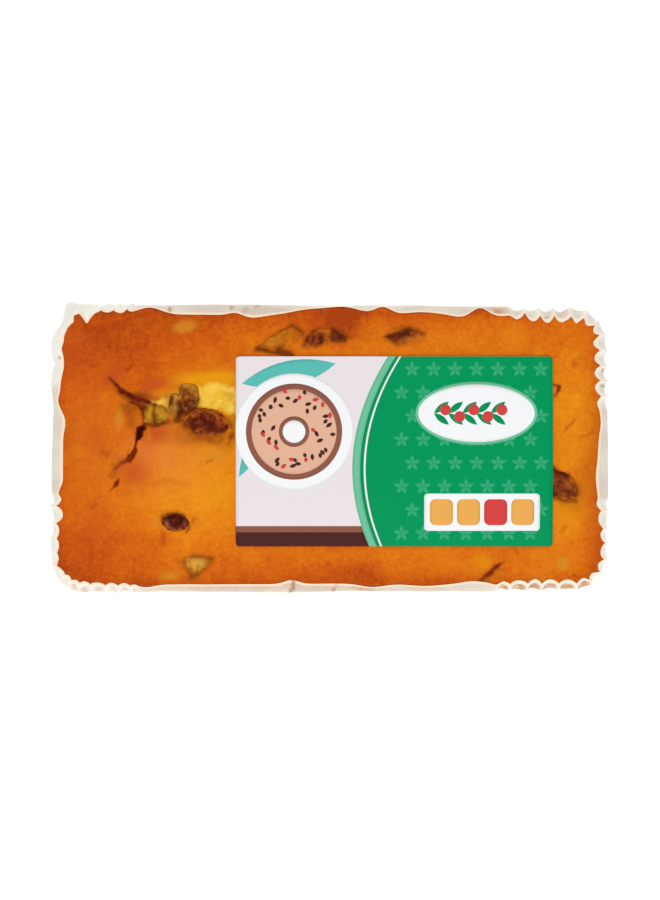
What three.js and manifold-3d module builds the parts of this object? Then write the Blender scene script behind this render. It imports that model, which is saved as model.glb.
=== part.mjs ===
// A fruit cake loaf in its pleated paper case, with a paper label lying on the crown.
// Millimetres. +X runs along the loaf, +Y across it, +Z up; the case's underside is z = 0 and
// the origin is the middle of that underside.

import * as THREE from "three";
import Module from "manifold-3d";

const wasm = await Module();
wasm.setup();

// ------------------------------------------------------------------ driving dimensions

// The belly is the widest line of the case's wall. Its plan is a rectangle with round corners.
const BELLY_HALF_LENGTH = 99.5;
const BELLY_HALF_WIDTH = 51.2;
const BELLY_CORNER = 13;
const BELLY_HEIGHT = 30;
const END_TAPER = 0.012; // how much wider the left end is, as a share at half the length

// The paper case.
const PAPER = 0.5;
const BASE_INSET = 8; // how far the foot of the wall stands inside the belly
const BASE_ROUNDING = 1.2;
const LIP_LENGTH = 6.6; // paper above the belly, leaning in over the cake's shoulder
const LIP_LEAN = { top: 3.7, left: 4.5, bottom: 3.0, right: 3.8 };
const GATHER_LEAN = 2.5; // lean of the lip where the paper is gathered into pleats
const BELLY_PLEATING = 0.5; // how much of a pleat's depth there is at the belly
const GATHER_FADE = 4; // length over which a gather starts and ends, and runs change over
const FLAT_STEP = 4.5; // spacing of points along the plain stretches
const PLEAT_STEPS = 6; // points in a pleat
const BROAD_PLEAT = { width: 10, steps: 10 }; // from this width on, a pleat has more points

// The cake.
const CAKE_GAP = 0.5; // between the crust and the paper
const CAKE_FLOOR = 1.0;
const CROWN_EDGE = 34.8;
const CROWN_RISE = 6;
const CROWN_END_REACH = 45; // distance from each end over which the crown rises
const SHOULDER_DROP = 5.2; // from the rim out and down to the edge of the crust
const BELOW_RIM = 0.9; // how far the crust stands below the free rim
const RIM_REACH = 5; // distance inside the rim over which the crust meets it

// The label.
const LABEL_LENGTH = 112.3;
const LABEL_WIDTH = 67.3;
const LABEL_THICKNESS = 0.35;
const LABEL_CORNER = 1.2;
const LABEL_CENTRE = { x: 23, y: -1 };
const LABEL_LIFT = 0.9;

// The fruit.
const POCKET_GAP = 0.35;

// ------------------------------------------------------------------ the belly's outline

const HALF_RUN_X = BELLY_HALF_LENGTH - BELLY_CORNER;
const HALF_RUN_Y = BELLY_HALF_WIDTH - BELLY_CORNER;
const ARC = (Math.PI / 2) * BELLY_CORNER;
const PERIMETER = 4 * (HALF_RUN_X + HALF_RUN_Y + ARC);

// Places on the outline are distances walked anticlockwise from the middle of the right side.
const alongTop = (x) => HALF_RUN_Y + ARC + HALF_RUN_X - x;
const alongLeft = (y) => PERIMETER / 2 - y;
const alongBottom = (x) => PERIMETER / 2 + HALF_RUN_Y + ARC + HALF_RUN_X + x;
const alongRight = (y) => (y < 0 ? PERIMETER + y : y);

const STRETCHES = [
  { length: HALF_RUN_Y, turns: false },
  { length: ARC, turns: true },
  { length: 2 * HALF_RUN_X, turns: false },
  { length: ARC, turns: true },
  { length: 2 * HALF_RUN_Y, turns: false },
  { length: ARC, turns: true },
  { length: 2 * HALF_RUN_X, turns: false },
  { length: ARC, turns: true },
  { length: HALF_RUN_Y, turns: false },
];

// The point at distance s along the belly, moved inward by inset, with the taper applied.
function outlinePoint(s, inset) {
  let rest = ((s % PERIMETER) + PERIMETER) % PERIMETER;
  let x = BELLY_HALF_LENGTH;
  let y = 0;
  let heading = Math.PI / 2;
  for (const { length, turns } of STRETCHES) {
    const step = Math.min(rest, length);
    if (turns) {
      const centreX = x - BELLY_CORNER * Math.sin(heading);
      const centreY = y + BELLY_CORNER * Math.cos(heading);
      heading += step / BELLY_CORNER;
      x = centreX + BELLY_CORNER * Math.sin(heading);
      y = centreY - BELLY_CORNER * Math.cos(heading);
    } else {
      x += step * Math.cos(heading);
      y += step * Math.sin(heading);
    }
    rest -= step;
    if (rest <= 0) break;
  }
  x -= inset * Math.sin(heading);
  y += inset * Math.cos(heading);
  return [x, y * (1 - (END_TAPER * x) / BELLY_HALF_LENGTH)];
}

// ------------------------------------------------------------------ pleats and lip

// Each gather is a few runs of pleats round one corner, following each other from start. Depth
// is how far a valley folds in, bulge how far the crests stand outside the belly, press how far
// the rim is pushed in over the cake, and sharpness narrows the valleys of creased folds. A
// valley is a round arc and a crest a cusp between two of them.
const PLEATS = { depth: 2, bulge: 0, press: 0, sharpness: 0.9 };
const GATHERS = [
  {
    start: alongRight(13),
    pleats: [
      { count: 8, width: 5.7, depth: 2.2, bulge: 0.1 },
      { count: 4, width: 5.9, depth: 2.3, press: 0.2 },
    ],
  },
  {
    start: alongTop(-68.3),
    pleats: [
      { count: 4, width: 4.1, depth: 1.2, bulge: 0.6 },
      { count: 1, width: 24.2, depth: 0.4, press: 1.9 },
      { count: 1, width: 16.3, depth: 1.4, press: 1.3, sharpness: 1.4 },
    ],
  },
  {
    start: alongLeft(-14.8),
    pleats: [
      { count: 3, width: 5.7, depth: 2.2, bulge: 0.6 },
      { count: 4, width: 4.9, depth: 0.9, bulge: 0.3 },
      { count: 6, width: 4.6, depth: 1.1, bulge: 0.1 },
    ],
  },
  {
    start: alongBottom(58.3),
    pleats: [
      { count: 6, width: 5.95, depth: 2.1, bulge: 0.4 },
      { count: 6, width: 5.7, depth: 2, bulge: 0.1 },
    ],
  },
].map(({ start, pleats }) => ({
  start,
  end: start + gatherLength(pleats),
  pleats: pleats.map((run) => ({ ...PLEATS, ...run })),
}));

function gatherLength(pleats) {
  return pleats.reduce((sum, { count, width }) => sum + count * width, 0);
}

// Waves of the free rim: at, where; reach, half its length; lean, how much further in (or,
// negative, out) it stands there.
const LIP_WAVES = [
  { at: alongRight(9.5), reach: 5, lean: -0.9 },
  { at: alongRight(37.9), reach: 2.5, lean: 0.5 },
  { at: alongTop(88), reach: 3, lean: 0.8 },
  { at: alongTop(68), reach: 4, lean: -1.1 },
  { at: alongTop(53.5), reach: 4, lean: -2.9 },
  { at: alongTop(46.5), reach: 4, lean: 0.5 },
  { at: alongTop(33), reach: 10, lean: -1.3 },
  { at: alongTop(19), reach: 4, lean: -2.6 },
  { at: alongTop(5), reach: 9, lean: -2.9 },
  { at: alongTop(-8), reach: 8, lean: -1.8 },
  { at: alongTop(-27), reach: 5, lean: 0.9 },
  { at: alongTop(-33.5), reach: 3, lean: -0.9 },
  { at: alongTop(-64), reach: 6, lean: -2.5 },
  { at: alongLeft(26), reach: 4.5, lean: -1 },
  { at: alongLeft(16.8), reach: 4.2, lean: -1.6 },
  { at: alongLeft(9.5), reach: 4, lean: 0.8 },
  { at: alongLeft(-15.5), reach: 2.5, lean: -1.4 },
  { at: alongBottom(-88), reach: 4, lean: 0.8 },
  { at: alongBottom(-65), reach: 4, lean: -0.9 },
  { at: alongBottom(-13.5), reach: 3.6, lean: 1.4 },
  { at: alongBottom(15.5), reach: 6, lean: -1.2 },
  { at: alongBottom(34), reach: 9, lean: -0.9 },
  { at: alongBottom(51), reach: 5, lean: 0.7 },
  { at: alongBottom(60.5), reach: 3, lean: -0.9 },
  { at: alongBottom(HALF_RUN_X) + 11.5, reach: 5, lean: -1.2 },
  { at: alongRight(-35), reach: 9, lean: -1.4 },
  { at: alongRight(-10.5), reach: 6, lean: 0.8 },
];

const smoothStep = (t) => {
  const c = Math.min(Math.max(t, 0), 1);
  return c * c * (3 - 2 * c);
};
const blend = (from, to, share) => from + (to - from) * share;
const swell = (distance, reach) => Math.exp(-((distance / reach) ** 2));

// What the gather does at s: its strength there (0 outside it), how deep the fold stands in,
// how deep the deepest valley nearby would, and how far the rim is pressed in. Where one run
// follows another, its values take over from the ones before.
function gatherAt(s) {
  for (const { start, end, pleats } of GATHERS) {
    if (s < start || s > end) continue;
    const strength = smoothStep((s - start) / GATHER_FADE) * smoothStep((end - s) / GATHER_FADE);
    let walked = s - start;
    let before = pleats[0];
    for (const run of pleats) {
      const length = run.count * run.width;
      if (walked > length + 1e-9) {
        walked -= length;
        before = run;
        continue;
      }
      const taken = smoothStep(walked / GATHER_FADE);
      const value = (key) => strength * blend(before[key], run[key], taken);
      const valley = Math.abs(Math.sin((Math.PI * walked) / run.width)) ** run.sharpness;
      const [depth, bulge, press] = ["depth", "bulge", "press"].map(value);
      return { strength, fold: depth * valley - bulge, reach: depth - bulge, press };
    }
  }
  return { strength: 0, fold: 0, reach: 0, press: 0 };
}

function sideLean(s) {
  if (s < alongTop(HALF_RUN_X) || s > alongBottom(HALF_RUN_X)) return LIP_LEAN.right;
  if (s < alongTop(-HALF_RUN_X)) return LIP_LEAN.top;
  return s < alongBottom(-HALF_RUN_X) ? LIP_LEAN.left : LIP_LEAN.bottom;
}

function lipLean(s) {
  const waves = LIP_WAVES.reduce((sum, { at, reach, lean }) => sum + lean * swell(s - at, reach), 0);
  return blend(sideLean(s), GATHER_LEAN, gatherAt(s).strength) + waves;
}

// ------------------------------------------------------------------ the crown's surface

// Low swellings of the crust: a bump by the top edge, the lips of the crack, and a raised
// patch beside the slit at the lower edge.
const SWELLINGS = [
  { x: 5.5, y: 44, reach: 7, height: 0.8 },
  { x: 51.5, y: -42, reach: 7, height: 0.8 },
  { x: -60, y: 2, reach: 7, height: 1.0 },
  { x: -72, y: 8, reach: 6, height: 0.8 },
  { x: -60, y: 25, reach: 8, height: 0.9 },
];

// One minus a falling parabola: 0 at the edge, level at reach.
const rise = (distance, reach) => 1 - (1 - Math.min(Math.max(distance / reach, 0), 1)) ** 2;

function crownHeight(x, y) {
  const ends = rise(BELLY_HALF_LENGTH - Math.abs(x), CROWN_END_REACH);
  const sides = rise(BELLY_HALF_WIDTH - Math.abs(y), BELLY_HALF_WIDTH);
  return CROWN_EDGE + CROWN_RISE * ends * sides;
}

function crustHeight(x, y) {
  const bumps = SWELLINGS.reduce(
    (sum, bump) => sum + bump.height * swell(Math.hypot(x - bump.x, y - bump.y), bump.reach),
    0,
  );
  return crownHeight(x, y) + bumps;
}

const lipHeight = (s) => Math.sqrt(LIP_LENGTH ** 2 - lipLean(s) ** 2);
const rimHeight = (s) => BELLY_HEIGHT + lipHeight(s);

// The crust inside the rim, past by so much: just under the rim, then over into the crown.
function crustInside(s, x, y, past) {
  const underRim = rimHeight(s) - BELOW_RIM;
  return blend(underRim, crustHeight(x, y), smoothStep(past / RIM_REACH));
}

// ------------------------------------------------------------------ building closed meshes

// Joins rings of points one after another into a closed skin, its two ends closed by fans
// about a point, or, with null, by a flat triangulation of the last ring.
function loft(rings, firstCentre, lastCentre) {
  const count = rings[0].length;
  const points = rings.flat();
  const faces = [];
  for (let r = 0; r + 1 < rings.length; r += 1) {
    for (let i = 0; i < count; i += 1) {
      const next = (i + 1) % count;
      const [a, b] = [r * count + i, r * count + next];
      const [c, d] = [b + count, a + count];
      faces.push(a, b, c, a, c, d);
    }
  }
  const last = (rings.length - 1) * count;
  const fan = (centre, offset, flip) => {
    points.push(centre);
    for (let i = 0; i < count; i += 1) {
      const next = (i + 1) % count;
      faces.push(points.length - 1, offset + (flip ? next : i), offset + (flip ? i : next));
    }
  };
  fan(firstCentre, 0, true);
  if (lastCentre) {
    fan(lastCentre, last, false);
  } else {
    const contour = rings.at(-1).map(([x, y]) => new THREE.Vector2(x, y));
    for (const triangle of THREE.ShapeUtils.triangulateShape(contour, [])) {
      faces.push(...triangle.map((i) => last + i));
    }
  }
  return { points, faces };
}

function toGeometry({ points, faces }) {
  const geometry = new THREE.BufferGeometry();
  geometry.setAttribute("position", new THREE.Float32BufferAttribute(points.flat(), 3));
  geometry.setIndex(faces);
  geometry.computeVertexNormals();
  return geometry;
}

function toManifold({ points, faces }) {
  const vertProperties = new Float32Array(points.flat());
  return new wasm.Manifold(
    new wasm.Mesh({ numProp: 3, vertProperties, triVerts: new Uint32Array(faces) }),
  );
}

function fromManifold(solid) {
  const { vertProperties, triVerts } = solid.getMesh();
  const points = [];
  for (let i = 0; i < vertProperties.length; i += 3) {
    points.push(Array.from(vertProperties.subarray(i, i + 3)));
  }
  return { points, faces: Array.from(triVerts) };
}

// ------------------------------------------------------------------ the paper case

// Distances along the outline where the case has a column of points: several in each pleat,
// and an even spacing between the gathers.
function caseColumns() {
  const stops = [];
  GATHERS.forEach(({ start, end, pleats }, index) => {
    let s = start;
    for (const { count, width } of pleats) {
      const steps = width > BROAD_PLEAT.width ? BROAD_PLEAT.steps : PLEAT_STEPS;
      for (let i = 0; i < count * steps; i += 1) stops.push(s + (i * width) / steps);
      s += count * width;
    }
    const following = GATHERS[index + 1]?.start ?? GATHERS[0].start + PERIMETER;
    const gaps = Math.round((following - end) / FLAT_STEP);
    for (let i = 0; i < gaps; i += 1) stops.push(end + ((following - end) * i) / gaps);
  });
  return stops.map((s) => s % PERIMETER);
}

// Rows of the wall, from the foot up: how far in, how high, and how much of the pleating shows.
function wallRow(s, row) {
  const lean = lipLean(s) + gatherAt(s).press;
  return {
    foot: { inset: BASE_INSET + BASE_ROUNDING, height: 0, pleating: 0 },
    bend: { inset: BASE_INSET, height: BASE_ROUNDING, pleating: 0.1 },
    belly: { inset: 0, height: BELLY_HEIGHT, pleating: BELLY_PLEATING },
    lip: { inset: 0.3 * lean, height: BELLY_HEIGHT + 0.55 * lipHeight(s), pleating: 0.8 },
    rim: { inset: lean, height: rimHeight(s), pleating: 1 },
  }[row];
}

function makeCase() {
  const columns = caseColumns();
  const ring = (row, inward, lift = 0) =>
    columns.map((s) => {
      const { inset, height, pleating } = wallRow(s, row);
      const [x, y] = outlinePoint(s, inset + pleating * gatherAt(s).fold + inward);
      return [x, y, height + lift];
    });
  const outer = ["foot", "bend", "belly", "lip", "rim"].map((row) => ring(row, 0));
  const inner = ["rim", "lip", "belly", "bend", "foot"].map((row) =>
    ring(row, PAPER, row === "foot" || row === "bend" ? PAPER : 0),
  );
  return loft([...outer, ...inner], [0, 0, 0], [0, 0, PAPER]);
}

// ------------------------------------------------------------------ the cake

const CAKE_COLUMNS = 92;
const CAKE_LOOK = 2.4; // how far to each side the crust's edge keeps clear of the paper
const TOP_RINGS = 6;
const SPINE_SHARE = 0.93; // how near the last ring comes to the crown's middle line
const SPINE_HALF = BELLY_HALF_LENGTH - BELLY_HALF_WIDTH;

function makeCakeBlank() {
  const columns = Array.from({ length: CAKE_COLUMNS }, (_, i) => (i * PERIMETER) / CAKE_COLUMNS);
  const nearby = (s, inset) => Math.max(...[-CAKE_LOOK, 0, CAKE_LOOK].map((d) => inset(s + d)));
  const folded = (s) => nearby(s, (near) => gatherAt(near).reach);
  const pressed = (s) => nearby(s, (near) => lipLean(near) + gatherAt(near).press);
  const sideInset = (s, share) =>
    BASE_INSET * (1 - share) + PAPER + CAKE_GAP + share * BELLY_PLEATING * folded(s);
  const rimInset = (s) => PAPER + CAKE_GAP + pressed(s) + folded(s);
  const side = (height, extra) =>
    columns.map((s) => {
      const share = (height - CAKE_FLOOR) / (BELLY_HEIGHT - CAKE_FLOOR);
      return [...outlinePoint(s, sideInset(s, share) + extra), height];
    });
  const shoulder = (share) =>
    columns.map((s) => {
      const inset = blend(sideInset(s, 1), rimInset(s), share);
      const drop = SHOULDER_DROP * (1 - share) ** 1.5;
      return [...outlinePoint(s, inset), rimHeight(s) - BELOW_RIM - drop];
    });
  const inside = (past) =>
    columns.map((s) => {
      const [x, y] = outlinePoint(s, rimInset(s) + past);
      return [x, y, crustInside(s, x, y, past)];
    });
  const edge = inside(RIM_REACH);
  const crown = (share) =>
    edge.map(([edgeX, edgeY]) => {
      const spineX = SPINE_HALF * Math.sin((Math.PI / 2) * (edgeX / BELLY_HALF_LENGTH));
      const x = blend(edgeX, spineX, share);
      const y = blend(edgeY, 0, share);
      return [x, y, crustHeight(x, y)];
    });
  const rings = [
    side(CAKE_FLOOR, 1.5),
    side(CAKE_FLOOR + 1.5, 0),
    ...[0, 0.35, 0.7, 1].map(shoulder),
    inside(0.5 * RIM_REACH),
    edge,
    ...Array.from({ length: TOP_RINGS }, (_, i) => crown((SPINE_SHARE * (i + 1)) / TOP_RINGS)),
  ];
  return loft(rings, [0, 0, CAKE_FLOOR], null);
}

// ------------------------------------------------------------------ cracks in the crust

// Each crack runs through its stations: where, how wide and how deep. A wide one has a
// rounded floor, a narrow one a sharp one.
const CRACKS = [
  {
    // the long thin arm towards the upper left
    floor: 1,
    stations: [
      { x: -78.4, y: 25.4, width: 0.3, depth: 0.4 },
      { x: -73.5, y: 21.2, width: 1.1, depth: 1.6 },
      { x: -68.5, y: 17.8, width: 1.6, depth: 2.6 },
      { x: -63.5, y: 15.4, width: 2.4, depth: 3 },
    ],
  },
  {
    // the arm that wanders down through a deep hole
    floor: 1.4,
    stations: [
      { x: -64.5, y: 11.5, width: 2.2, depth: 2.6 },
      { x: -66.6, y: 7.4, width: 3.4, depth: 5 },
      { x: -67.4, y: 4.2, width: 3.6, depth: 5.5 },
      { x: -68.2, y: 0.2, width: 0.8, depth: 2.2 },
      { x: -69.6, y: -2.4, width: 2.6, depth: 3 },
      { x: -72.4, y: -4.8, width: 1.2, depth: 1.4 },
      { x: -75, y: -9.4, width: 0.9, depth: 1.1 },
      { x: -76, y: -12.6, width: 1.4, depth: 1.8 },
      { x: -78.2, y: -15.4, width: 0.3, depth: 0.4 },
    ],
  },
  {
    // the wide opening that shows the crumb and runs under the label
    floor: 2.2,
    stations: [
      { x: -66.5, y: 12.2, width: 2, depth: 0.8 },
      { x: -61.4, y: 12.8, width: 9, depth: 2.2 },
      { x: -54.5, y: 15.2, width: 12, depth: 2.8 },
      { x: -46.5, y: 14.4, width: 17, depth: 3 },
      { x: -37, y: 14, width: 20, depth: 2.8 },
      { x: -28, y: 13.5, width: 15, depth: 2.2 },
      { x: -20.5, y: 13.5, width: 4, depth: 0.8 },
    ],
  },
  {
    // the slit at the lower edge
    floor: 1,
    stations: [
      { x: 55.8, y: -45.6, width: 0.3, depth: 0.4 },
      { x: 58.6, y: -43.4, width: 1.1, depth: 1.6 },
      { x: 60.6, y: -41.4, width: 0.9, depth: 1.2 },
      { x: 62.2, y: -40.4, width: 0.3, depth: 0.4 },
    ],
  },
  {
    // the hooked slit by the label's upper right corner
    floor: 1,
    stations: [
      { x: 79.4, y: 22.8, width: 0.3, depth: 0.4 },
      { x: 81.8, y: 21.8, width: 1, depth: 1.2 },
      { x: 81.2, y: 20, width: 1, depth: 1.2 },
      { x: 80.2, y: 18.2, width: 0.3, depth: 0.4 },
    ],
  },
];
const CRACK_ACROSS = 5;
const CRACK_CLEAR = 4; // how far a cutter stands above the crust

function crackCutter({ floor, stations }) {
  const rings = stations.map(({ x, y, width, depth }, index) => {
    const before = stations[Math.max(index - 1, 0)];
    const after = stations[Math.min(index + 1, stations.length - 1)];
    const length = Math.hypot(after.x - before.x, after.y - before.y);
    const across = [-(after.y - before.y) / length, (after.x - before.x) / length];
    const place = (v, lift) => {
      const px = x + (across[0] * v * width) / 2;
      const py = y + (across[1] * v * width) / 2;
      return [px, py, crustHeight(px, py) + lift];
    };
    const bed = Array.from({ length: CRACK_ACROSS }, (_, i) => {
      const v = (2 * i) / (CRACK_ACROSS - 1) - 1;
      return place(v, -depth * (1 - Math.abs(v) ** floor));
    });
    return [...bed, place(1.15, CRACK_CLEAR), place(-1.15, CRACK_CLEAR)];
  });
  const middle = ({ x, y, depth }) => [x, y, crustHeight(x, y) + (CRACK_CLEAR - depth) / 2];
  return loft(rings, middle(stations[0]), middle(stations.at(-1)));
}

// ------------------------------------------------------------------ raisins and sultanas

// Each piece: its middle, its length, width and height, how far its top stands above the
// crust, and its turn in plan in degrees. lobes pinches it into two; point sharpens an end.
const FRUIT = [
  { name: "raisin_eye", x: -54.8, y: -26, size: [11.4, 7, 6], proud: 0.9, turn: -8 },
  { name: "raisin_dark", x: -43.4, y: 7.3, size: [16, 10, 7], proud: 0.35, turn: -12 },
  { name: "raisin_brown", x: -52.2, y: 17.3, size: [11, 7.6, 7], proud: -0.1, turn: -58 },
  { name: "sultana_split", x: -61.2, y: 12, size: [8.6, 6.8, 6], proud: -0.3, turn: 0, lobes: 0.28 },
  { name: "sultana_upper", x: -19, y: 38, size: [15.5, 8, 6], proud: 0.6, turn: 22 },
  { name: "raisin_pair", x: -2.3, y: 39.4, size: [15, 6.2, 6], proud: 0.6, turn: 8, lobes: 0.22 },
  { name: "raisin_slit", x: 25.8, y: 39.7, size: [15.4, 5.6, 5.5], proud: 0.5, turn: 5 },
  { name: "raisin_right", x: 80.8, y: -13.2, size: [14, 11, 7], proud: 0.3, turn: -12 },
  { name: "sultana_lower", x: -47.9, y: -41.4, size: [9.4, 6.6, 5.5], proud: 0.5, turn: -6, point: 0.35 },
];
const FRUIT_AROUND = 12;
const FRUIT_RINGS = 6;

// A shrivelled ovoid. Its long axis runs through the poles; grow adds to every half size.
function fruitBody(fruit, grow) {
  const { x, y, size, proud, turn, lobes = 0, point = 0 } = fruit;
  const [halfLength, halfWidth, halfHeight] = size.map((value) => value / 2);
  const [cosTurn, sinTurn] = [Math.cos, Math.sin].map((f) => f(THREE.MathUtils.degToRad(turn)));
  const centre = crustHeight(x, y) + proud - halfHeight;
  const place = (along, side, up) => [
    x + along * cosTurn - side * sinTurn,
    y + along * sinTurn + side * cosTurn,
    centre + up,
  ];
  const rings = Array.from({ length: FRUIT_RINGS }, (_, r) => {
    const polar = (Math.PI * (r + 1)) / (FRUIT_RINGS + 1);
    const along = -Math.cos(polar);
    const girth = Math.sin(polar) ** 0.85 * (1 - lobes * swell(along, 0.22)) * (1 - point * along);
    return Array.from({ length: FRUIT_AROUND }, (_, i) => {
      const angle = (2 * Math.PI * i) / FRUIT_AROUND;
      const wrinkle = 1 + 0.05 * Math.cos(4 * angle + 3 * polar) * Math.sin(polar);
      const side = (halfWidth * girth * wrinkle + grow) * Math.cos(angle);
      const up = (halfHeight * girth * wrinkle + grow) * Math.sin(angle);
      return place(along * (halfLength + grow), side, up);
    });
  });
  return loft(rings, place(-halfLength - grow, 0, 0), place(halfLength + grow, 0, 0));
}

// ------------------------------------------------------------------ the label

// Evenly spaced places from -half to half, with one more a corner's width in from each end.
function labelStops(half, steps) {
  const inner = half - LABEL_CORNER;
  const between = Array.from({ length: steps + 1 }, (_, i) => -inner + (2 * inner * i) / steps);
  return [-half, ...between, half];
}

function makeLabel() {
  const columns = labelStops(LABEL_LENGTH / 2, 11);
  const rows = labelStops(LABEL_WIDTH / 2, 7);
  const cut = LABEL_CORNER * (1 - Math.SQRT1_2);
  const ends = (list, i) => (i === 0 ? 1 : i === list.length - 1 ? -1 : 0);
  const points = [];
  for (const lift of [LABEL_LIFT, LABEL_LIFT + LABEL_THICKNESS]) {
    rows.forEach((v, j) => {
      columns.forEach((u, i) => {
        const corner = Math.abs(ends(columns, i) * ends(rows, j)) * cut;
        const x = LABEL_CENTRE.x + u + corner * ends(columns, i);
        const y = LABEL_CENTRE.y + v + corner * ends(rows, j);
        points.push([x, y, crownHeight(x, y) + lift]);
      });
    });
  }
  const sheet = rows.length * columns.length;
  const faces = [];
  for (let j = 0; j + 1 < rows.length; j += 1) {
    for (let i = 0; i + 1 < columns.length; i += 1) {
      const a = j * columns.length + i;
      const [b, c, d] = [a + 1, a + 1 + columns.length, a + columns.length];
      faces.push(a, c, b, a, d, c, sheet + a, sheet + b, sheet + c, sheet + a, sheet + c, sheet + d);
    }
  }
  const border = [
    ...columns.slice(0, -1).map((_, i) => i),
    ...rows.slice(0, -1).map((_, j) => j * columns.length + columns.length - 1),
    ...columns.slice(0, -1).map((_, i) => sheet - 1 - i),
    ...rows.slice(0, -1).map((_, j) => (rows.length - 1 - j) * columns.length),
  ];
  border.forEach((a, k) => {
    const b = border[(k + 1) % border.length];
    faces.push(a, b, sheet + b, a, sheet + b, sheet + a);
  });
  return { points, faces };
}

// ------------------------------------------------------------------ the finished loaf

const FINISHES = {
  crust: { color: 0xd96f1b, roughness: 0.75 },
  paper: { color: 0xf3eee4, roughness: 0.85 },
  label: { color: 0x0f9a5f, roughness: 0.35 },
  raisin: { color: 0x5a2a1c, roughness: 0.45 },
  sultana: { color: 0xa06a1e, roughness: 0.45 },
};

const loaf = new THREE.Group();

function addPiece(name, body, finish) {
  const material = new THREE.MeshStandardMaterial({ ...FINISHES[finish], metalness: 0 });
  const mesh = new THREE.Mesh(toGeometry(body), material);
  mesh.name = name;
  loaf.add(mesh);
}

function cutCake() {
  const cutters = [
    ...CRACKS.map(crackCutter),
    ...FRUIT.map((fruit) => fruitBody(fruit, POCKET_GAP)),
  ];
  const cut = cutters.reduce(
    (cake, cutter) => cake.subtract(toManifold(cutter)),
    toManifold(makeCakeBlank()),
  );
  const [largest] = cut.decompose().sort((a, b) => b.volume() - a.volume());
  return fromManifold(largest);
}

addPiece("case", makeCase(), "paper");
addPiece("cake", cutCake(), "crust");
addPiece("label", makeLabel(), "label");
for (const fruit of FRUIT) {
  addPiece(fruit.name, fruitBody(fruit, 0), fruit.name.startsWith("raisin") ? "raisin" : "sultana");
}

export default loaf;
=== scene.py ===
"""A fruit cake loaf in its pleated paper case, with a printed paper label lying on the crown.

Sizes and places are millimetres in the frame's axes: +X along the loaf, +Y across it, +Z up,
the case's underside at z = 0. A mesh is turned into metres where it is made.
"""

import logging
from collections.abc import Callable
from dataclasses import dataclass, field
from enum import Enum

import bpy
import numpy as np
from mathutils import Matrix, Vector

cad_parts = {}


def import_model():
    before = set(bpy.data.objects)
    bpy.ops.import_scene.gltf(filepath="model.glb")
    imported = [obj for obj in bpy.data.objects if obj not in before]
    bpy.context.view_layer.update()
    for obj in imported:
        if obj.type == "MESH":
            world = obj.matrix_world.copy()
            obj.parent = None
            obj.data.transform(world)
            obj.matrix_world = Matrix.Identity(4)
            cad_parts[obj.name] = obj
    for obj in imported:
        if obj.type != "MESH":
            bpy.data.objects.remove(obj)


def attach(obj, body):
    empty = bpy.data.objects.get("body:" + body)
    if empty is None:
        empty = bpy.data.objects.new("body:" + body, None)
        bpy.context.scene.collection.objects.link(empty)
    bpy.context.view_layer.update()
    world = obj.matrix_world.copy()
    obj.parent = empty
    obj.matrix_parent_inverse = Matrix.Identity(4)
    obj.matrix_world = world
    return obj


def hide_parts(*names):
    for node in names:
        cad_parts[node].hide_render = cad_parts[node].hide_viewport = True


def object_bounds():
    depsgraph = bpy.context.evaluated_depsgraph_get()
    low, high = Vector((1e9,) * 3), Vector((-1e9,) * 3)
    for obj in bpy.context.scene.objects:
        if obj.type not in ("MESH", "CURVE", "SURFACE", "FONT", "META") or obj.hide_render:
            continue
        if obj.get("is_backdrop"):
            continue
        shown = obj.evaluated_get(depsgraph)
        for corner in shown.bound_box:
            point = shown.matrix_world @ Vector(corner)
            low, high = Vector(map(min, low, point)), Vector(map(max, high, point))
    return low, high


LOG = logging.getLogger("fruit_cake_loaf")
MM = 0.001
BODY = "root"

LABEL_X, LABEL_Y = 23.0, -1.0
LABEL_LENGTH, LABEL_WIDTH = 112.3, 67.3
LABEL_RIM = 0.05

Array = np.ndarray
Pair = tuple[Array, Array]
Colour = tuple[float, float, float]
Socket = bpy.types.NodeSocket


# -------------------------------- small formulas


def smooth_step(t: Array) -> Array:
    """The cubic 3t^2 - 2t^3, held at 0 below 0 and at 1 above 1."""
    c = np.clip(t, 0.0, 1.0)
    return c * c * (3.0 - 2.0 * c)


def ease(value: Array, start: float, end: float) -> Array:
    """Goes smoothly from 0 where value is start to 1 where it is end."""
    return smooth_step((value - start) / (end - start))


def swell(distance: Array, reach: float) -> Array:
    """A bell curve: 1 at no distance, 1/e at reach."""
    return np.exp(-((distance / reach) ** 2))


def blend(start: Array, end: Array, share: Array) -> Array:
    """Goes straight from start to end as share goes from 0 to 1."""
    return start + (end - start) * share


def rise(distance: Array, reach: float) -> Array:
    """One minus a falling parabola: 0 at the edge, level from reach on."""
    return 1.0 - (1.0 - np.clip(distance / reach, 0.0, 1.0)) ** 2


def srgb(red: int, green: int, blue: int) -> Colour:
    """Turns a display colour of 0 to 255 a channel into the linear values that shaders take."""
    display = np.array([red, green, blue]) / 255.0
    linear = np.where(display <= 0.04045, display / 12.92, ((display + 0.055) / 1.055) ** 2.4)
    return tuple(float(value) for value in linear)


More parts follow.
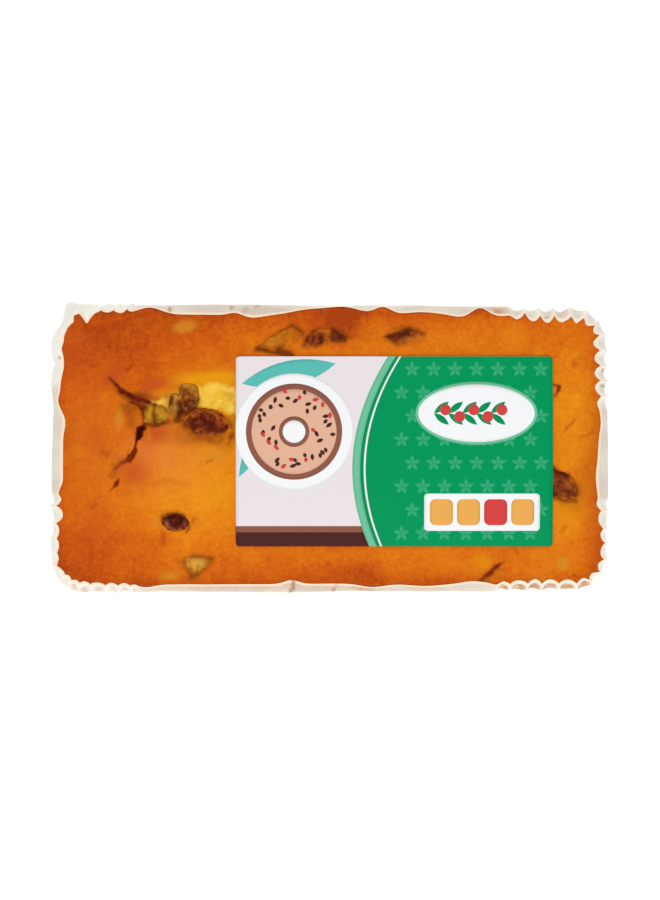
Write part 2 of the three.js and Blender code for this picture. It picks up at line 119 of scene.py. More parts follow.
@dataclass(frozen=True)
class LatticeNoise:
    """Smooth noise from a repeating lattice of seeded random values.

    Between lattice points the value is blended along each axis by the cubic 3t^2 - 2t^3.
    """

    seed: int
    size: int = 24
    layer_shift: float = 7.3

    def sample(self, x: Array, y: Array, z: Array | float = 0.0) -> Array:
        """Gives the noise at points measured in lattice cells.

        Args:
            x: places along the first axis.
            y: places along the second axis.
            z: places along the third axis.

        Returns:
            Values between -1 and 1.
        """
        values = np.random.default_rng(self.seed).uniform(-1.0, 1.0, (self.size,) * 3)
        axes = [np.broadcast_to(a, np.broadcast(x, y, z).shape) for a in (x, y, z)]
        cells = [np.floor(a).astype(int) for a in axes]
        shares = [smooth_step(a - c) for a, c in zip(axes, cells)]
        total = np.zeros(axes[0].shape)
        for corner in np.ndindex(2, 2, 2):
            weight = np.ones(axes[0].shape)
            for share, side in zip(shares, corner):
                weight = weight * (share if side else 1.0 - share)
            index = tuple((c + side) % self.size for c, side in zip(cells, corner))
            total += weight * values[index]
        return total

    def layered(self, x: Array, y: Array, z: Array | float = 0.0, layers: int = 4) -> Array:
        """Adds layers of the noise, each twice as fine and half as strong as the last."""
        total = self.sample(x, y, z)
        for layer in range(1, layers):
            step = 2.0**layer
            moved = x * step + self.layer_shift * layer
            total = total + self.sample(moved, y * step, z * step) / step
        return total

    def over(self, x: Array, y: Array, cell: float | tuple[float, float], layers: int,
             start: tuple[float, float] = (0.0, 0.0)) -> Array:
        """The layered noise over a surface, in cells of one size or of one each way."""
        wide, high = np.broadcast_to(cell, 2)
        return self.layered(x / wide + start[0], y / high + start[1], layers=layers)

    def along(self, s: Array, cell: float, row: float) -> Array:
        """The noise along a line in cells of a length, a course of its own for every row."""
        return self.sample(s / cell, 0.0 * s + row)


# -------------------------------- meshes from arrays


def grid_quads(rows: int, columns: int, wraps: bool) -> Array:
    """Quads of a grid of points stored row by row.

    Args:
        rows: how many rows of points.
        columns: how many points in a row.
        wraps: whether the last point of a row joins its first.

    Returns:
        An array of four point numbers a quad, turning from a row towards the next one.
    """
    row = np.arange(rows - 1)[:, None]
    column = np.arange(columns if wraps else columns - 1)[None, :]
    following = (column + 1) % columns
    corners = (
        row * columns + column,
        row * columns + following,
        (row + 1) * columns + following,
        (row + 1) * columns + column,
    )
    return np.stack(corners, axis=-1).reshape(-1, 4)


def grid_border(rows: int, columns: int) -> Array:
    """The point numbers round the edge of such a grid, each once, from its first point on."""
    numbers = np.arange(rows * columns).reshape(rows, columns)
    return np.concatenate([
        numbers[0, :-1], numbers[:-1, -1], numbers[-1, :0:-1], numbers[:0:-1, 0]
    ])


def fan(ring: Array, centre: int) -> Array:
    """Triangles from a centre point to each step of a closed ring of point numbers."""
    return np.stack([np.full(len(ring), centre), ring, np.roll(ring, -1)], axis=-1)


def walk_past(path: Array, x: Array, y: Array) -> Pair:
    """Measures points against a path of straight steps.

    For each step the nearest point on it is where the way from its start, projected on it, is
    held between its ends; of all steps the nearest counts.

    Args:
        path: the path's corners, one row a corner.
        x: the points' x.
        y: the points' y.

    Returns:
        The distance to the path, and the place on it in steps walked.
    """
    distance, walked = np.full(x.shape, np.inf), np.zeros(x.shape)
    for number, (start, end) in enumerate(zip(path[:-1], path[1:])):
        step = end - start
        share = ((x - start[0]) * step[0] + (y - start[1]) * step[1]) / (step @ step)
        share = np.clip(share, 0.0, 1.0)
        here = np.hypot(x - start[0] - share * step[0], y - start[1] - share * step[1])
        walked = np.where(here < distance, number + share, walked)
        distance = np.minimum(here, distance)
    return distance, walked


@dataclass
class Surface:
    """Points in millimetres with the quads and triangles that join them."""

    points: Array
    quads: Array = field(default_factory=lambda: np.zeros((0, 4), int))
    triangles: Array = field(default_factory=lambda: np.zeros((0, 3), int))
    values: dict[str, Array] = field(default_factory=dict)

    def joined(self, other: "Surface") -> "Surface":
        """Both surfaces in one, with the other's point numbers moved past this one's."""
        offset = len(self.points)
        return Surface(
            np.concatenate([self.points, other.points]),
            np.concatenate([self.quads, other.quads + offset]),
            np.concatenate([self.triangles, other.triangles + offset]),
        )

    def to_object(self, name: str, material: bpy.types.Material) -> bpy.types.Object:
        """Makes the mesh object, in metres, smooth shaded, with its values as attributes.

        Args:
            name: the object's name.
            material: the finish that it wears.

        Returns:
            The new object, linked to the scene, at the origin.
        """
        faces = self.quads.tolist() + self.triangles.tolist()
        mesh = bpy.data.meshes.new(name)
        mesh.from_pydata((self.points * MM).tolist(), [], faces)
        mesh.polygons.foreach_set("use_smooth", np.ones(len(faces), bool))
        for key, value in self.values.items():
            mesh.attributes.new(key, "FLOAT", "POINT").data.foreach_set("value", value)
        mesh.materials.append(material)
        mesh.update()
        made = bpy.data.objects.new(name, mesh)
        bpy.context.scene.collection.objects.link(made)
        return made


def tube_like(rings: list[Array], first: Array, last: Array) -> Surface:
    """Joins rings of equal counts one after another and closes both ends by fans.

    Args:
        rings: arrays of points, each a closed ring that turns anticlockwise about the way
            from the first ring to the last, seen from the last.
        first: the point that closes the first ring.
        last: the point that closes the last ring.

    Returns:
        The closed surface.
    """
    count = len(rings[0])
    points = np.concatenate([*rings, [first], [last]])
    numbers = np.arange(count)
    end = (len(rings) - 1) * count
    first_fan = fan(numbers[::-1], len(rings) * count)
    last_fan = fan(numbers + end, len(rings) * count + 1)
    quads = grid_quads(len(rings), count, wraps=True)
    return Surface(points, quads, np.concatenate([first_fan, last_fan]))


def graded_stops(knots: list[tuple[float, float]]) -> Array:
    """Places along a line whose spacing changes with place.

    The number of stops passed by a place is the integral of one over the spacing; the stops
    are where that number, scaled to end on a whole one, is whole.

    Args:
        knots: (place, spacing there), from the lowest place to the highest.

    Returns:
        The places, from the first knot to the last.
    """
    samples = 4000
    places, spacings = np.array(knots).T
    fine = np.linspace(places[0], places[-1], samples)
    density = 1.0 / np.interp(fine, places, spacings)
    passed = np.concatenate([[0.0], np.cumsum((density[1:] + density[:-1]) / 2 * np.diff(fine))])
    count = int(np.ceil(passed[-1]))
    return np.interp(np.arange(count + 1) * passed[-1] / count, passed, fine)


# -------------------------------- shader building


class Finish:
    """A material with a Principled surface, and short ways to add the nodes that feed it."""

    def __init__(self, name: str, roughness: float, specular: float = 0.5) -> None:
        """Starts the material.

        Args:
            name: the material's name.
            roughness: the shader's own roughness.
            specular: the shader's own specular level.
        """
        self.material = bpy.data.materials.new(name)
        self.material.use_nodes = True
        self.nodes = self.material.node_tree.nodes
        self.links = self.material.node_tree.links
        self.surface = self.nodes["Principled BSDF"]
        self.surface.inputs["Roughness"].default_value = roughness
        self.surface.inputs["Specular IOR Level"].default_value = specular
        self.place = self.nodes.new("ShaderNodeTexCoord").outputs["Object"]

    def attribute(self, name: str) -> Socket:
        """The value of a mesh attribute."""
        node = self.nodes.new("ShaderNodeAttribute")
        node.attribute_name = name
        return node.outputs["Fac"]

    def part(self, name: str, share: float) -> Socket:
        """A share of the value of a mesh attribute."""
        return self.maths("MULTIPLY", self.attribute(name), share)

    def noise(self, scale: float, detail: float, rough: float = 0.55) -> Socket:
        """Cloudy noise over the object, scale being its cells in a metre."""
        node = self.nodes.new("ShaderNodeTexNoise")
        node.inputs["Scale"].default_value = scale
        node.inputs["Detail"].default_value = detail
        node.inputs["Roughness"].default_value = rough
        self.links.new(self.place, node.inputs["Vector"])
        return node.outputs["Fac"]

    def cells(self, scale: float, randomness: float = 1.0) -> Socket:
        """Distance to the nearest of scattered points, scale being their cells in a metre."""
        node = self.nodes.new("ShaderNodeTexVoronoi")
        node.inputs["Scale"].default_value = scale
        node.inputs["Randomness"].default_value = randomness
        self.links.new(self.place, node.inputs["Vector"])
        return node.outputs["Distance"]

    def remap(self, value: Socket, start: tuple[float, float],
              end: tuple[float, float] = (0.0, 1.0)) -> Socket:
        """Moves a value from one range to another, held at the new range's ends."""
        node = self.nodes.new("ShaderNodeMapRange")
        numbers = (*start, *end)
        for key, number in zip(("From Min", "From Max", "To Min", "To Max"), numbers):
            node.inputs[key].default_value = number
        self.links.new(value, node.inputs["Value"])
        return node.outputs["Result"]

    def maths(self, operation: str, first: Socket, second: Socket | float) -> Socket:
        """One arithmetic step on two values."""
        node = self.nodes.new("ShaderNodeMath")
        node.operation = operation
        self.links.new(first, node.inputs[0])
        if isinstance(second, float):
            node.inputs[1].default_value = second
        else:
            self.links.new(second, node.inputs[1])
        return node.outputs["Value"]

    def ramp(self, value: Socket, stops: list[tuple[float, Colour]]) -> Socket:
        """A colour looked up on a row of colour stops."""
        node = self.nodes.new("ShaderNodeValToRGB")
        elements = node.color_ramp.elements
        while len(elements) < len(stops):
            elements.new(0.5)
        for element, (place, colour) in zip(elements, stops):
            element.position = place
            element.color = (*colour, 1.0)
        self.links.new(value, node.inputs["Fac"])
        return node.outputs["Color"]

    def mix(self, share: Socket, start: Socket | Colour, end: Socket | Colour,
            how: str = "MIX") -> Socket:
        """One colour going over into another as share goes from 0 to 1."""
        node = self.nodes.new("ShaderNodeMix")
        node.data_type = "RGBA"
        node.blend_type = how
        self.links.new(share, node.inputs["Factor"])
        for socket, colour in ((node.inputs[6], start), (node.inputs[7], end)):
            if isinstance(colour, tuple):
                socket.default_value = (*colour, 1.0)
            else:
                self.links.new(colour, socket)
        return node.outputs[2]

    def bump(self, height: Socket, distance: float, strength: float,
             below: Socket | None = None) -> Socket:
        """Relief of a height in metres over the surface, on top of any relief below it."""
        node = self.nodes.new("ShaderNodeBump")
        node.inputs["Distance"].default_value = distance
        node.inputs["Strength"].default_value = strength
        self.links.new(height, node.inputs["Height"])
        if below is not None:
            self.links.new(below, node.inputs["Normal"])
        return node.outputs["Normal"]

    def finish(self, colour: Socket | Colour,
               normal: Socket | None = None,
               roughness: Socket | None = None) -> bpy.types.Material:
        """Feeds the surface and gives the material back."""
        if isinstance(colour, tuple):
            self.surface.inputs["Base Color"].default_value = (*colour, 1.0)
        else:
            self.links.new(colour, self.surface.inputs["Base Color"])
        if normal is not None:
            self.links.new(normal, self.surface.inputs["Normal"])
        if roughness is not None:
            self.links.new(roughness, self.surface.inputs["Roughness"])
        return self.material


# -------------------------------- the outline and its pleats


@dataclass(frozen=True)
class Outline:
    """The belly line of the case in plan: a rectangle with round corners, slightly tapered.

    Places on it are distances walked anticlockwise from the middle of the right side.
    """

    half_length: float = 99.5
    half_width: float = 51.2
    corner: float = 13.0
    taper: float = 0.012

    @property
    def run_x(self) -> float:
        """Half the straight stretch along a long side."""
        return self.half_length - self.corner

    @property
    def run_y(self) -> float:
        """Half the straight stretch along an end."""
        return self.half_width - self.corner

    @property
    def arc(self) -> float:
        """The length of one round corner."""
        return np.pi / 2 * self.corner

    @property
    def perimeter(self) -> float:
        """The whole way round."""
        return 4 * (self.run_x + self.run_y + self.arc)

    def along_top(self, x: Array) -> Array:
        """The place on the upper side at x."""
        return self.run_y + self.arc + self.run_x - x

    def along_left(self, y: Array) -> Array:
        """The place on the left end at y."""
        return self.perimeter / 2 - y

    def along_bottom(self, x: Array) -> Array:
        """The place on the lower side at x."""
        return self.perimeter / 2 + self.run_y + self.arc + self.run_x + x

    def along_right(self, y: Array) -> Array:
        """The place on the right end at y."""
        return np.where(np.asarray(y) < 0, self.perimeter + y, y)

    def point(self, s: Array, inset: Array) -> Pair:
        """Points of the outline moved inward.

        The outline is a circle of the corner's radius carried round an inner rectangle: along
        a straight stretch its centre moves, and round a corner its angle does.

        Args:
            s: places on the outline.
            inset: how far inward of each place.

        Returns:
            The x and y of the points, with the taper applied.
        """
        stretches = [self.run_y, self.arc, 2 * self.run_x, self.arc, 2 * self.run_y,
                     self.arc, 2 * self.run_x, self.arc, self.run_y]
        breaks = np.concatenate([[0.0], np.cumsum(stretches)])
        signs_x = np.array([1, 1, 1, -1, -1, -1, -1, 1, 1, 1])
        signs_y = np.array([0, 1, 1, 1, 1, -1, -1, -1, -1, 0])
        quarter_turns = np.array([0, 0, 1, 1, 2, 2, 3, 3, 4, 4])
        walked = np.mod(s, self.perimeter)
        centre_x = np.interp(walked, breaks, signs_x * self.run_x)
        centre_y = np.interp(walked, breaks, signs_y * self.run_y)
        angle = np.interp(walked, breaks, quarter_turns * np.pi / 2)
        reach = self.corner - inset
        x = centre_x + reach * np.cos(angle)
        y = centre_y + reach * np.sin(angle)
        return x, y * self.widening(x)

    def widening(self, x: Array) -> Array:
        """How much wider than the even rectangle the outline is at x."""
        return 1.0 - self.taper * x / self.half_length

    def locate(self, x: Array, y: Array) -> Pair:
        """Finds the nearest place on the outline and the distance inside it.

        Args:
            x: the points' x.
            y: the points' y.

        Returns:
            The places on the outline, and how far inside it the points are.
        """
        even_y = y / self.widening(x)
        past_x = np.abs(x) - self.run_x
        past_y = np.abs(even_y) - self.run_y
        in_corner = (past_x > 0) & (past_y > 0)
        at_end = past_x > past_y
        angle = np.arctan2(np.maximum(past_y, 0), np.maximum(past_x, 1e-9))
        depth = np.where(in_corner, np.hypot(past_x, past_y), np.maximum(past_x, past_y))
        right, upper = x > 0, even_y > 0
        part = np.where(at_end, 0.0, self.arc)
        part = np.where(in_corner, angle * self.corner, part)
        side = np.where(in_corner, self.run_y, np.where(at_end, np.abs(even_y), self.run_y))
        rest = np.where(in_corner | at_end, 0.0, self.run_x - np.abs(x))
        quarter = side + part + rest
        half = self.perimeter / 2
        s = np.where(right, quarter, half - quarter)
        s = np.where(upper, s, np.where(right, self.perimeter - quarter, half + quarter))
        return s, self.corner - depth


@dataclass(frozen=True)
class PleatRun:
    """Pleats of one size that follow each other.

    Args:
        count: how many pleats there are.
        width: how much of the outline each takes.
        depth: how far the rim goes in from crest to hollow.
        bulge: how far the crests stand outside the rim's own line.
        sharpness: below 1 the hollows are round and broad, above 1 they are creases.
        belly: the depth at the belly, as a share of the depth at the rim.
        stain: how far the cake's fat has browned the hollows.
    """

    count: int
    width: float
    depth: float
    bulge: float = 0.0
    sharpness: float = 0.7
    belly: float = 0.5
    stain: float = 0.0

    @property
    def length(self) -> float:
        """How much of the outline the run takes."""
        return self.count * self.width


@dataclass(frozen=True)
class Gather:
    """Runs of pleats round one corner, from a place on the outline on."""

    start: float
    runs: tuple[PleatRun, ...]
    overlap: float = 1.5

    @property
    def end(self) -> float:
        """Where the last pleat ends."""
        return self.start + sum(run.length for run in self.runs)

    def passed(self, s: Array) -> Array:
        """How many pleats lie before places on the outline, counted in parts too."""
        places, counts = [self.start], [0]
        for run in self.runs:
            places.append(places[-1] + run.length)
            counts.append(counts[-1] + run.count)
        return np.interp(s, places, counts)

    def value(self, name: str, s: Array) -> Array:
        """A run's value at places on the outline, blended where one run follows another."""
        places: list[float] = []
        values: list[float] = []
        start = self.start
        for run in self.runs:
            places += [start + self.overlap, start + run.length - self.overlap]
            values += [getattr(run, name)] * 2
            start += run.length
        return np.interp(s, places, values)


@dataclass(frozen=True)
class Wave:
    """A place on the outline where something is larger or, with a minus, smaller."""

    at: float
    reach: float
    amount: float


def waves(along: Callable[[float], Array], *rows: tuple[float, float, float]) -> tuple[Wave, ...]:
    """Waves on one side of the outline from rows of coordinate, reach and amount."""
    return tuple(Wave(float(along(place)), reach, amount) for place, reach, amount in rows)


@dataclass(frozen=True)
class Fold:
    """What the pleating does at places on the outline.

    Args:
        strength: 1 in a gather, 0 on the plain stretches.
        hollow: 1 in the middle of a hollow, 0 on a crest.
        rim: how far inward the rim goes.
        belly: how far inward the belly goes.
        stain: how brown the hollow is.
    """

    strength: Array
    hollow: Array
    rim: Array
    belly: Array
    stain: Array


@dataclass
class Pleating:
    """The gathers round the four corners and the waves of the rim between them."""

    outline: Outline
    side_leans: tuple[float, ...] = (3.8, 3.7, 4.5, 3.0)
    fade: float = 4.0
    unevenness: float = 1.0
    drift_cell: float = 7.0
    variety: float = 0.45
    variety_cell: float = 7.5
    stain_cell: float = 8.0
    stain_level: float = 0.65
    least_stain: float = 0.3
    belly_bulge: float = 0.6
    gather_lean: float = 2.5
    lip_length: float = 6.6
    belly_height: float = 30.0
    noise: LatticeNoise = LatticeNoise(seed=11)

    def __post_init__(self) -> None:
        """Places the gathers and the waves on the outline."""
        line = self.outline
        self.gathers = (
            Gather(13.0, (
                PleatRun(8, 5.7, 2.4, 0.1, stain=0.15),
                PleatRun(4, 5.9, 2.5, -0.2, stain=0.5),
            )),
            Gather(line.along_top(-68.3), (
                PleatRun(4, 4.1, 1.2, 0.6, belly=0.8),
                PleatRun(1, 24.2, 0.4, -1.9, belly=0.2),
                PleatRun(1, 16.3, 1.4, -1.3, sharpness=1.4, belly=0.2),
            )),
            Gather(line.along_left(-14.8), (
                PleatRun(3, 5.7, 2.4, 0.6),
                PleatRun(4, 4.9, 0.9, 0.3),
                PleatRun(6, 4.6, 1.1, 0.1, stain=0.25),
            )),
            Gather(line.along_bottom(58.3), (
                PleatRun(6, 5.95, 2.1, 0.4, stain=2.6),
                PleatRun(6, 5.7, 2.0, 0.1, stain=0.05),
            )),
        )
        self.waves = (
            *waves(line.along_right, (9.5, 5, -0.9)),
            *waves(line.along_top, (88, 3, 0.8), (68, 4, -1.1), (53.5, 4, -2.9), (46.5, 4, 0.5),
                   (33, 10, -1.3), (19, 4, -2.6), (5, 9, -2.9), (-8, 8, -1.8), (-27, 5, 0.9),
                   (-33.5, 3, -0.9), (-64, 6, -2.5), (-86.3, 1.8, 2.1), (-90.2, 1.2, -1.6),
                   (-92.3, 1.3, -1.7)),
            *waves(line.along_left, (26, 4.5, -1.0), (16.8, 4.2, -1.6), (9.5, 4, 0.8),
                   (-15.5, 2.5, -1.4), (-28.6, 2, -0.9), (-41.5, 3, -0.5)),
            *waves(line.along_bottom, (-88, 4, 0.8), (-65, 4, -0.9), (-13.5, 3.6, 1.4),
                   (15.5, 6, -1.2), (34, 9, -0.9), (51, 5, 0.7), (60.5, 3, -0.9),
                   (line.run_x + 11.5, 5, -1.2), (-line.run_x - 10.2, 4, 0.7)),
            *waves(line.along_right, (-35, 9, -1.4), (37.9, 2.5, 0.5), (-10.5, 6, 0.8)),
        )
        self.slants = waves(line.along_top, (-77.0, 9.0, 3.2))
        self.lip_darkenings = (
            *waves(line.along_top, (59.6, 3.2, 0.9), (-20, 14, 0.14)),
            *waves(line.along_bottom, (-42, 22, 0.4), (-8, 16, 0.34), (12.5, 5, 0.75),
                   (32, 14, 0.34)),
        )
        self.tucks = (
            *waves(line.along_top, (-92.4, 2.6, -2.2)),
            *waves(line.along_left, (44.5, 4.5, 1.5), (30.1, 1.2, 1.0), (14.5, 3.2, 1.6),
                   (6.0, 8.0, 0.6)),
        )

    def fold(self, s: Array) -> Fold:
        """Works out the pleats at places on the outline.

        Across each pleat the wall goes in by a power of the sine of half a turn: a low power
        makes round hollows that meet in cusps, a high one makes creases.

        Args:
            s: places on the outline.

        Returns:
            The fold there.
        """
        strength, hollow, rim, belly, stain = (np.zeros_like(s) for _ in range(5))
        for gather in self.gathers:
            fade_in = smooth_step((s - gather.start) / self.fade)
            power = fade_in * smooth_step((gather.end - s) / self.fade)
            drift = self.unevenness * self.noise.along(s, self.drift_cell, 1.5)
            way = gather.passed(s + drift)
            inside = np.abs(np.sin(np.pi * way)) ** gather.value("sharpness", s)
            varied = 1.0 + self.variety * self.noise.along(s, self.variety_cell, 5.5)
            depth = gather.value("depth", s) * varied
            bulge = gather.value("bulge", s)
            chance = self.stain_level + self.noise.along(s, self.stain_cell, 9.5)
            strength += power
            hollow += power * inside
            rim += power * (depth * inside - bulge)
            kept = gather.value("belly", s) * depth * inside
            belly += power * (kept - self.belly_bulge * np.maximum(bulge, 0.0))
            stain += power * gather.value("stain", s) * np.clip(chance, self.least_stain, 1.0)
        return Fold(strength, hollow, rim, belly, stain)

    def waved(self, group: tuple[Wave, ...], s: Array) -> Array:
        """The sum of several waves at places on the outline."""
        return sum((wave.amount * swell(s - wave.at, wave.reach) for wave in group), 0.0 * s)

    def lean(self, s: Array) -> Array:
        """How far inside the belly the free rim stands: a value a side, waves and gathers."""
        line = self.outline
        ends = (line.along_top(line.run_x), line.along_top(-line.run_x),
                line.along_bottom(-line.run_x), line.along_bottom(line.run_x))
        side = np.select([s < end for end in ends], self.side_leans, self.side_leans[0])
        return blend(side, self.gather_lean, self.fold(s).strength) + self.waved(self.waves, s)

    def lip_height(self, s: Array) -> Array:
        """How far the rim stands above the belly, the lip's length being given."""
        return np.sqrt(self.lip_length**2 - self.lean(s) ** 2)

    def rim_height(self, s: Array) -> Array:
        """How high the free rim stands."""
        return self.belly_height + self.lip_height(s)

    def rim_inset(self, s: Array) -> Array:
        """How far inside the outline the free rim stands, pleats and all."""
        return self.lean(s) + self.fold(s).rim


# -------------------------------- the paper case


@dataclass(frozen=True)
class Crease:
    """A short brown crease in the lip, where the paper was scorched or is greasy."""

    at: float
    height: float
    reach: float = 1.2
    length: float = 0.3
    amount: float = 1.0


@dataclass
class PaperCase:
    """The pleated case: one closed sheet, its outside, its rim and its inside."""

    outline: Outline
    pleating: Pleating
    base_inset: float = 8.0
    foot_rounding: float = 1.2
    paper: float = 0.22
    plain_step: float = 1.1
    pleat_steps: int = 18
    pocket: float = 2.3
    buckle: float = 0.3
    crumple: float = 0.3
    crinkle: float = 0.13
    dent_cell: tuple[float, float] = (21.0, 16.0)
    crease_cell: tuple[float, float] = (3.0, 4.5)
    crinkle_cell: tuple[float, float] = (0.9, 7.0)
    taut: float = 0.7
    ripple: float = 0.5
    curl: float = 0.35
    curl_start: float = 0.88
    pleat_step: float = 0.36
    beside: float = 3.0
    bar_slant: float = 1.5
    bar_width: float = 0.45
    noise: LatticeNoise = LatticeNoise(seed=23)

    def columns(self) -> Array:
        """Places round the outline, close together in the pleats."""
        knots: list[tuple[float, float]] = []
        for gather in self.pleating.gathers:
            start = gather.start
            for run in gather.runs:
                fine = min(run.width / self.pleat_steps, self.pleat_step)
                knots += [(start, fine), (start + run.length - 0.01, fine)]
                start += run.length
            knots += [(gather.end + self.beside, self.plain_step)]
        around = self.pleating.gathers[0].start + self.outline.perimeter
        following = [gather.start for gather in self.pleating.gathers[1:]] + [around]
        knots += [(start - self.beside, self.plain_step) for start in following]
        knots.append((around, 0.33))
        return np.mod(graded_stops(sorted(knots))[:-1], self.outline.perimeter)

    def wall(self, s: Array, way: Array, inward: float) -> Array:
        """One ring of the wall.

        From the foot (way 0) to the belly (way 1) the wall flares straight out above a
        rounded foot; from the belly to the rim (way 2) it goes in with the square of the
        height gained. Pleats grow from nothing at the foot; in the lip their hollows go in
        low down and then stand steeply up to the rim, which leaves open pockets. The pleated
        rim curls a little way in over the crust.

        Args:
            s: places round the outline.
            way: how far up the wall, from 0 to 2.
            inward: how far inside the paper's outer face.

        Returns:
            The ring's points.
        """
        low, high = np.clip(way, 0.0, 1.0), np.clip(way - 1.0, 0.0, 1.0)
        height = self.pleating.belly_height * low + self.pleating.lip_height(s) * high
        near_floor = np.clip(1.0 - height / self.foot_rounding, 0.0, 1.0)
        rounding = self.foot_rounding * (1.0 - np.sqrt(1.0 - near_floor**2))
        inset = self.base_inset * (1.0 - low) + rounding + self.pleating.lean(s) * high**2
        fold = self.pleating.fold(s + (1.0 - high) * self.pleating.waved(self.pleating.slants, s))
        lift = 1.0 - (1.0 - high) ** self.pocket
        tuck = self.pleating.waved(self.pleating.tucks, s) * (1.0 - high)
        folded = low**0.8 * (1.0 - lift) * (fold.belly + tuck) + lift * fold.rim
        dent = self.noise.over(s, height, self.dent_cell, 3)
        crease = self.noise.over(s, height, self.crease_cell, 3, (0.0, 9.0))
        crinkle = self.noise.over(s, height, self.crinkle_cell, 2, (0.0, 20.0))
        gathered = self.crumple * crease + self.crinkle * crinkle
        uneven = blend(self.buckle * dent, gathered, fold.strength)
        inset = inset + folded + uneven * smooth_step(low * 3.0) * (1.0 - self.taut * high)
        inset = inset + self.curl * fold.strength * ease(high, self.curl_start, 1.0)
        x, y = self.outline.point(s, inset + inward)
        ripple = self.ripple * self.noise.along(s, 3.0, 3.0) * high * fold.strength
        return np.stack([x, y, height + ripple], axis=-1)

    def surface(self) -> Surface:
        """Builds the case, with the values that its paper's finish reads.

        Returns:
            The closed surface.
        """
        s = self.columns()
        low_ways = np.concatenate([[0.0, 0.006, 0.015, 0.03], np.linspace(0.07, 1.0, 14)])
        high_ways = np.linspace(1.0, 2.0, 19)[1:]
        outer_ways = np.concatenate([low_ways, high_ways])
        inner_ways = np.concatenate([[2.0, 1.9, 1.78, 1.6, 1.4, 1.2, 1.0], [0.7, 0.35, 0.04]])
        outer = [self.wall(s, way, 0.0) for way in outer_ways]
        rim = self.wall(s, 2.0, self.paper / 2)
        rim[:, 2] += self.paper / 2
        inner = [self.wall(s, way, self.paper) for way in inner_ways]
        floor = inner[-1].copy()
        floor[:, 2] = self.paper
        case = tube_like(
            [*outer, rim, *inner, floor], np.zeros(3), np.array([0.0, 0.0, self.paper])
        )
        spread = np.repeat(np.concatenate([outer_ways, [2.0], inner_ways, [0.0]]), len(s))
        places = np.tile(s, len(spread) // len(s))
        for key, value in self.values(places, spread).items():
            case.values[key] = np.append(value, [0.0, 0.0])
        return case

    def values(self, s: Array, way: Array) -> dict[str, Array]:
        """What the paper's finish reads, by place and way up the wall."""
        high = np.clip(way - 1.0, 0.0, 1.0)
        fold = self.pleating.fold(s + (1.0 - high) * self.pleating.waved(self.pleating.slants, s))
        band = ease(high, 0.0, 0.25) * (1.0 - ease(high, 0.7, 0.9))
        pocket = fold.hollow**1.5 * band
        return {
            # rim: the free rim's edge, painted as a bright cream line, a painted highlight
            "rim": ease(way, 1.88, 1.94),
            # beige on the plain lip: partly soaked-up fat, partly painted shade (the gathers stay
            # white)
            "greasy": (1.0 - fold.strength) * ease(way, 0.75, 1.1),
            # pocket: the lip's pleat hollows, greyed as painted shade
            "pocket": pocket,
            # lower wall's tan: soaked paper, stronger in the pleat hollows as painted shade
            "wall": (1.0 - ease(way, 0.72, 1.0)) * (0.7 + 0.3 * fold.hollow),
            "stain": np.clip(pocket * fold.stain * 2.0 + self.lip_darkening(s, high), 0.0, 1.0),
            "crease": self.creases(s, way),
        }

    def lip_darkening(self, s: Array, high: Array) -> Array:
        """How much the plain lip is darkened towards brown, more on its upper half."""
        up = ease(high, 0.3, 0.65) * (1.0 - ease(high, 0.92, 0.98))
        return self.pleating.waved(self.pleating.lip_darkenings, s) * up

    def creases(self, s: Array, way: Array) -> Array:
        """Where the lip is stained: short bars across it at a few places."""
        line = self.outline
        bars = (
            Crease(line.along_top(-56.8), 1.75),
            Crease(line.along_top(-34.7), 1.55, 0.8),
            Crease(line.along_top(-29.9), 1.7, 1.2, 0.2),
            Crease(line.along_top(-25.6), 1.3, 1.4, 0.2),
            Crease(line.along_left(32.0), 1.75, 1.3, 0.14),
            Crease(line.along_bottom(-13.3), 1.55, 1.2, 0.6, 2.2),
            Crease(line.along_bottom(1.7), 1.6, 1.0, 0.4, 1.6),
            Crease(float(line.along_right(28.3)), 1.3),
            Crease(float(line.along_right(22.6)), 1.4),
        )
        total = np.zeros_like(s)
        for bar in bars:
            across = s - bar.at - self.bar_slant * (way - bar.height)
            shape = swell(across, self.bar_width * bar.reach) * swell(way - bar.height, bar.length)
            total += bar.amount * shape
        return np.clip(total, 0.0, 1.0)

    def finish(self) -> bpy.types.Material:
        """Greaseproof paper: nearly white; beige on the plain lip, partly soaked-up fat and partly
        painted shade; tan where the wall lies against the cake, deeper in its pleat hollows as
        painted shade; grey painted shade in the lip's pleat hollows and a painted highlight
        along the rim."""
        paint = Finish("greaseproof_paper", roughness=0.62, specular=0.2)
        beige = paint.mix(paint.remap(paint.noise(90.0, 4.0), (0.35, 0.7)),
                          srgb(214, 203, 189), srgb(230, 221, 207))
        white = paint.mix(paint.remap(paint.noise(200.0, 3.0), (0.4, 0.75)),
                          srgb(243, 243, 234), srgb(242, 234, 219))
        # beige plain lip, partly fat and partly painted shade; white gathers
        colour = paint.mix(paint.attribute("greasy"), white, beige)
        # painted shade: grey in the lip's pleat hollows
        colour = paint.mix(paint.part("pocket", 0.3), colour, srgb(214, 214, 202))
        soaked = paint.mix(paint.remap(paint.noise(38.0, 5.0, 0.6), (0.35, 0.65)),
                           srgb(222, 198, 162), srgb(196, 160, 114))
        # tan of the soaked lower wall, deepened in its pleat hollows by painted shade
        colour = paint.mix(paint.attribute("wall"), colour, soaked)
        blot = paint.remap(paint.noise(500.0, 3.0), (0.3, 0.6), (0.45, 1.0))
        stain = paint.maths("MULTIPLY", paint.attribute("stain"), blot)
        colour = paint.mix(stain, colour, srgb(196, 138, 90))
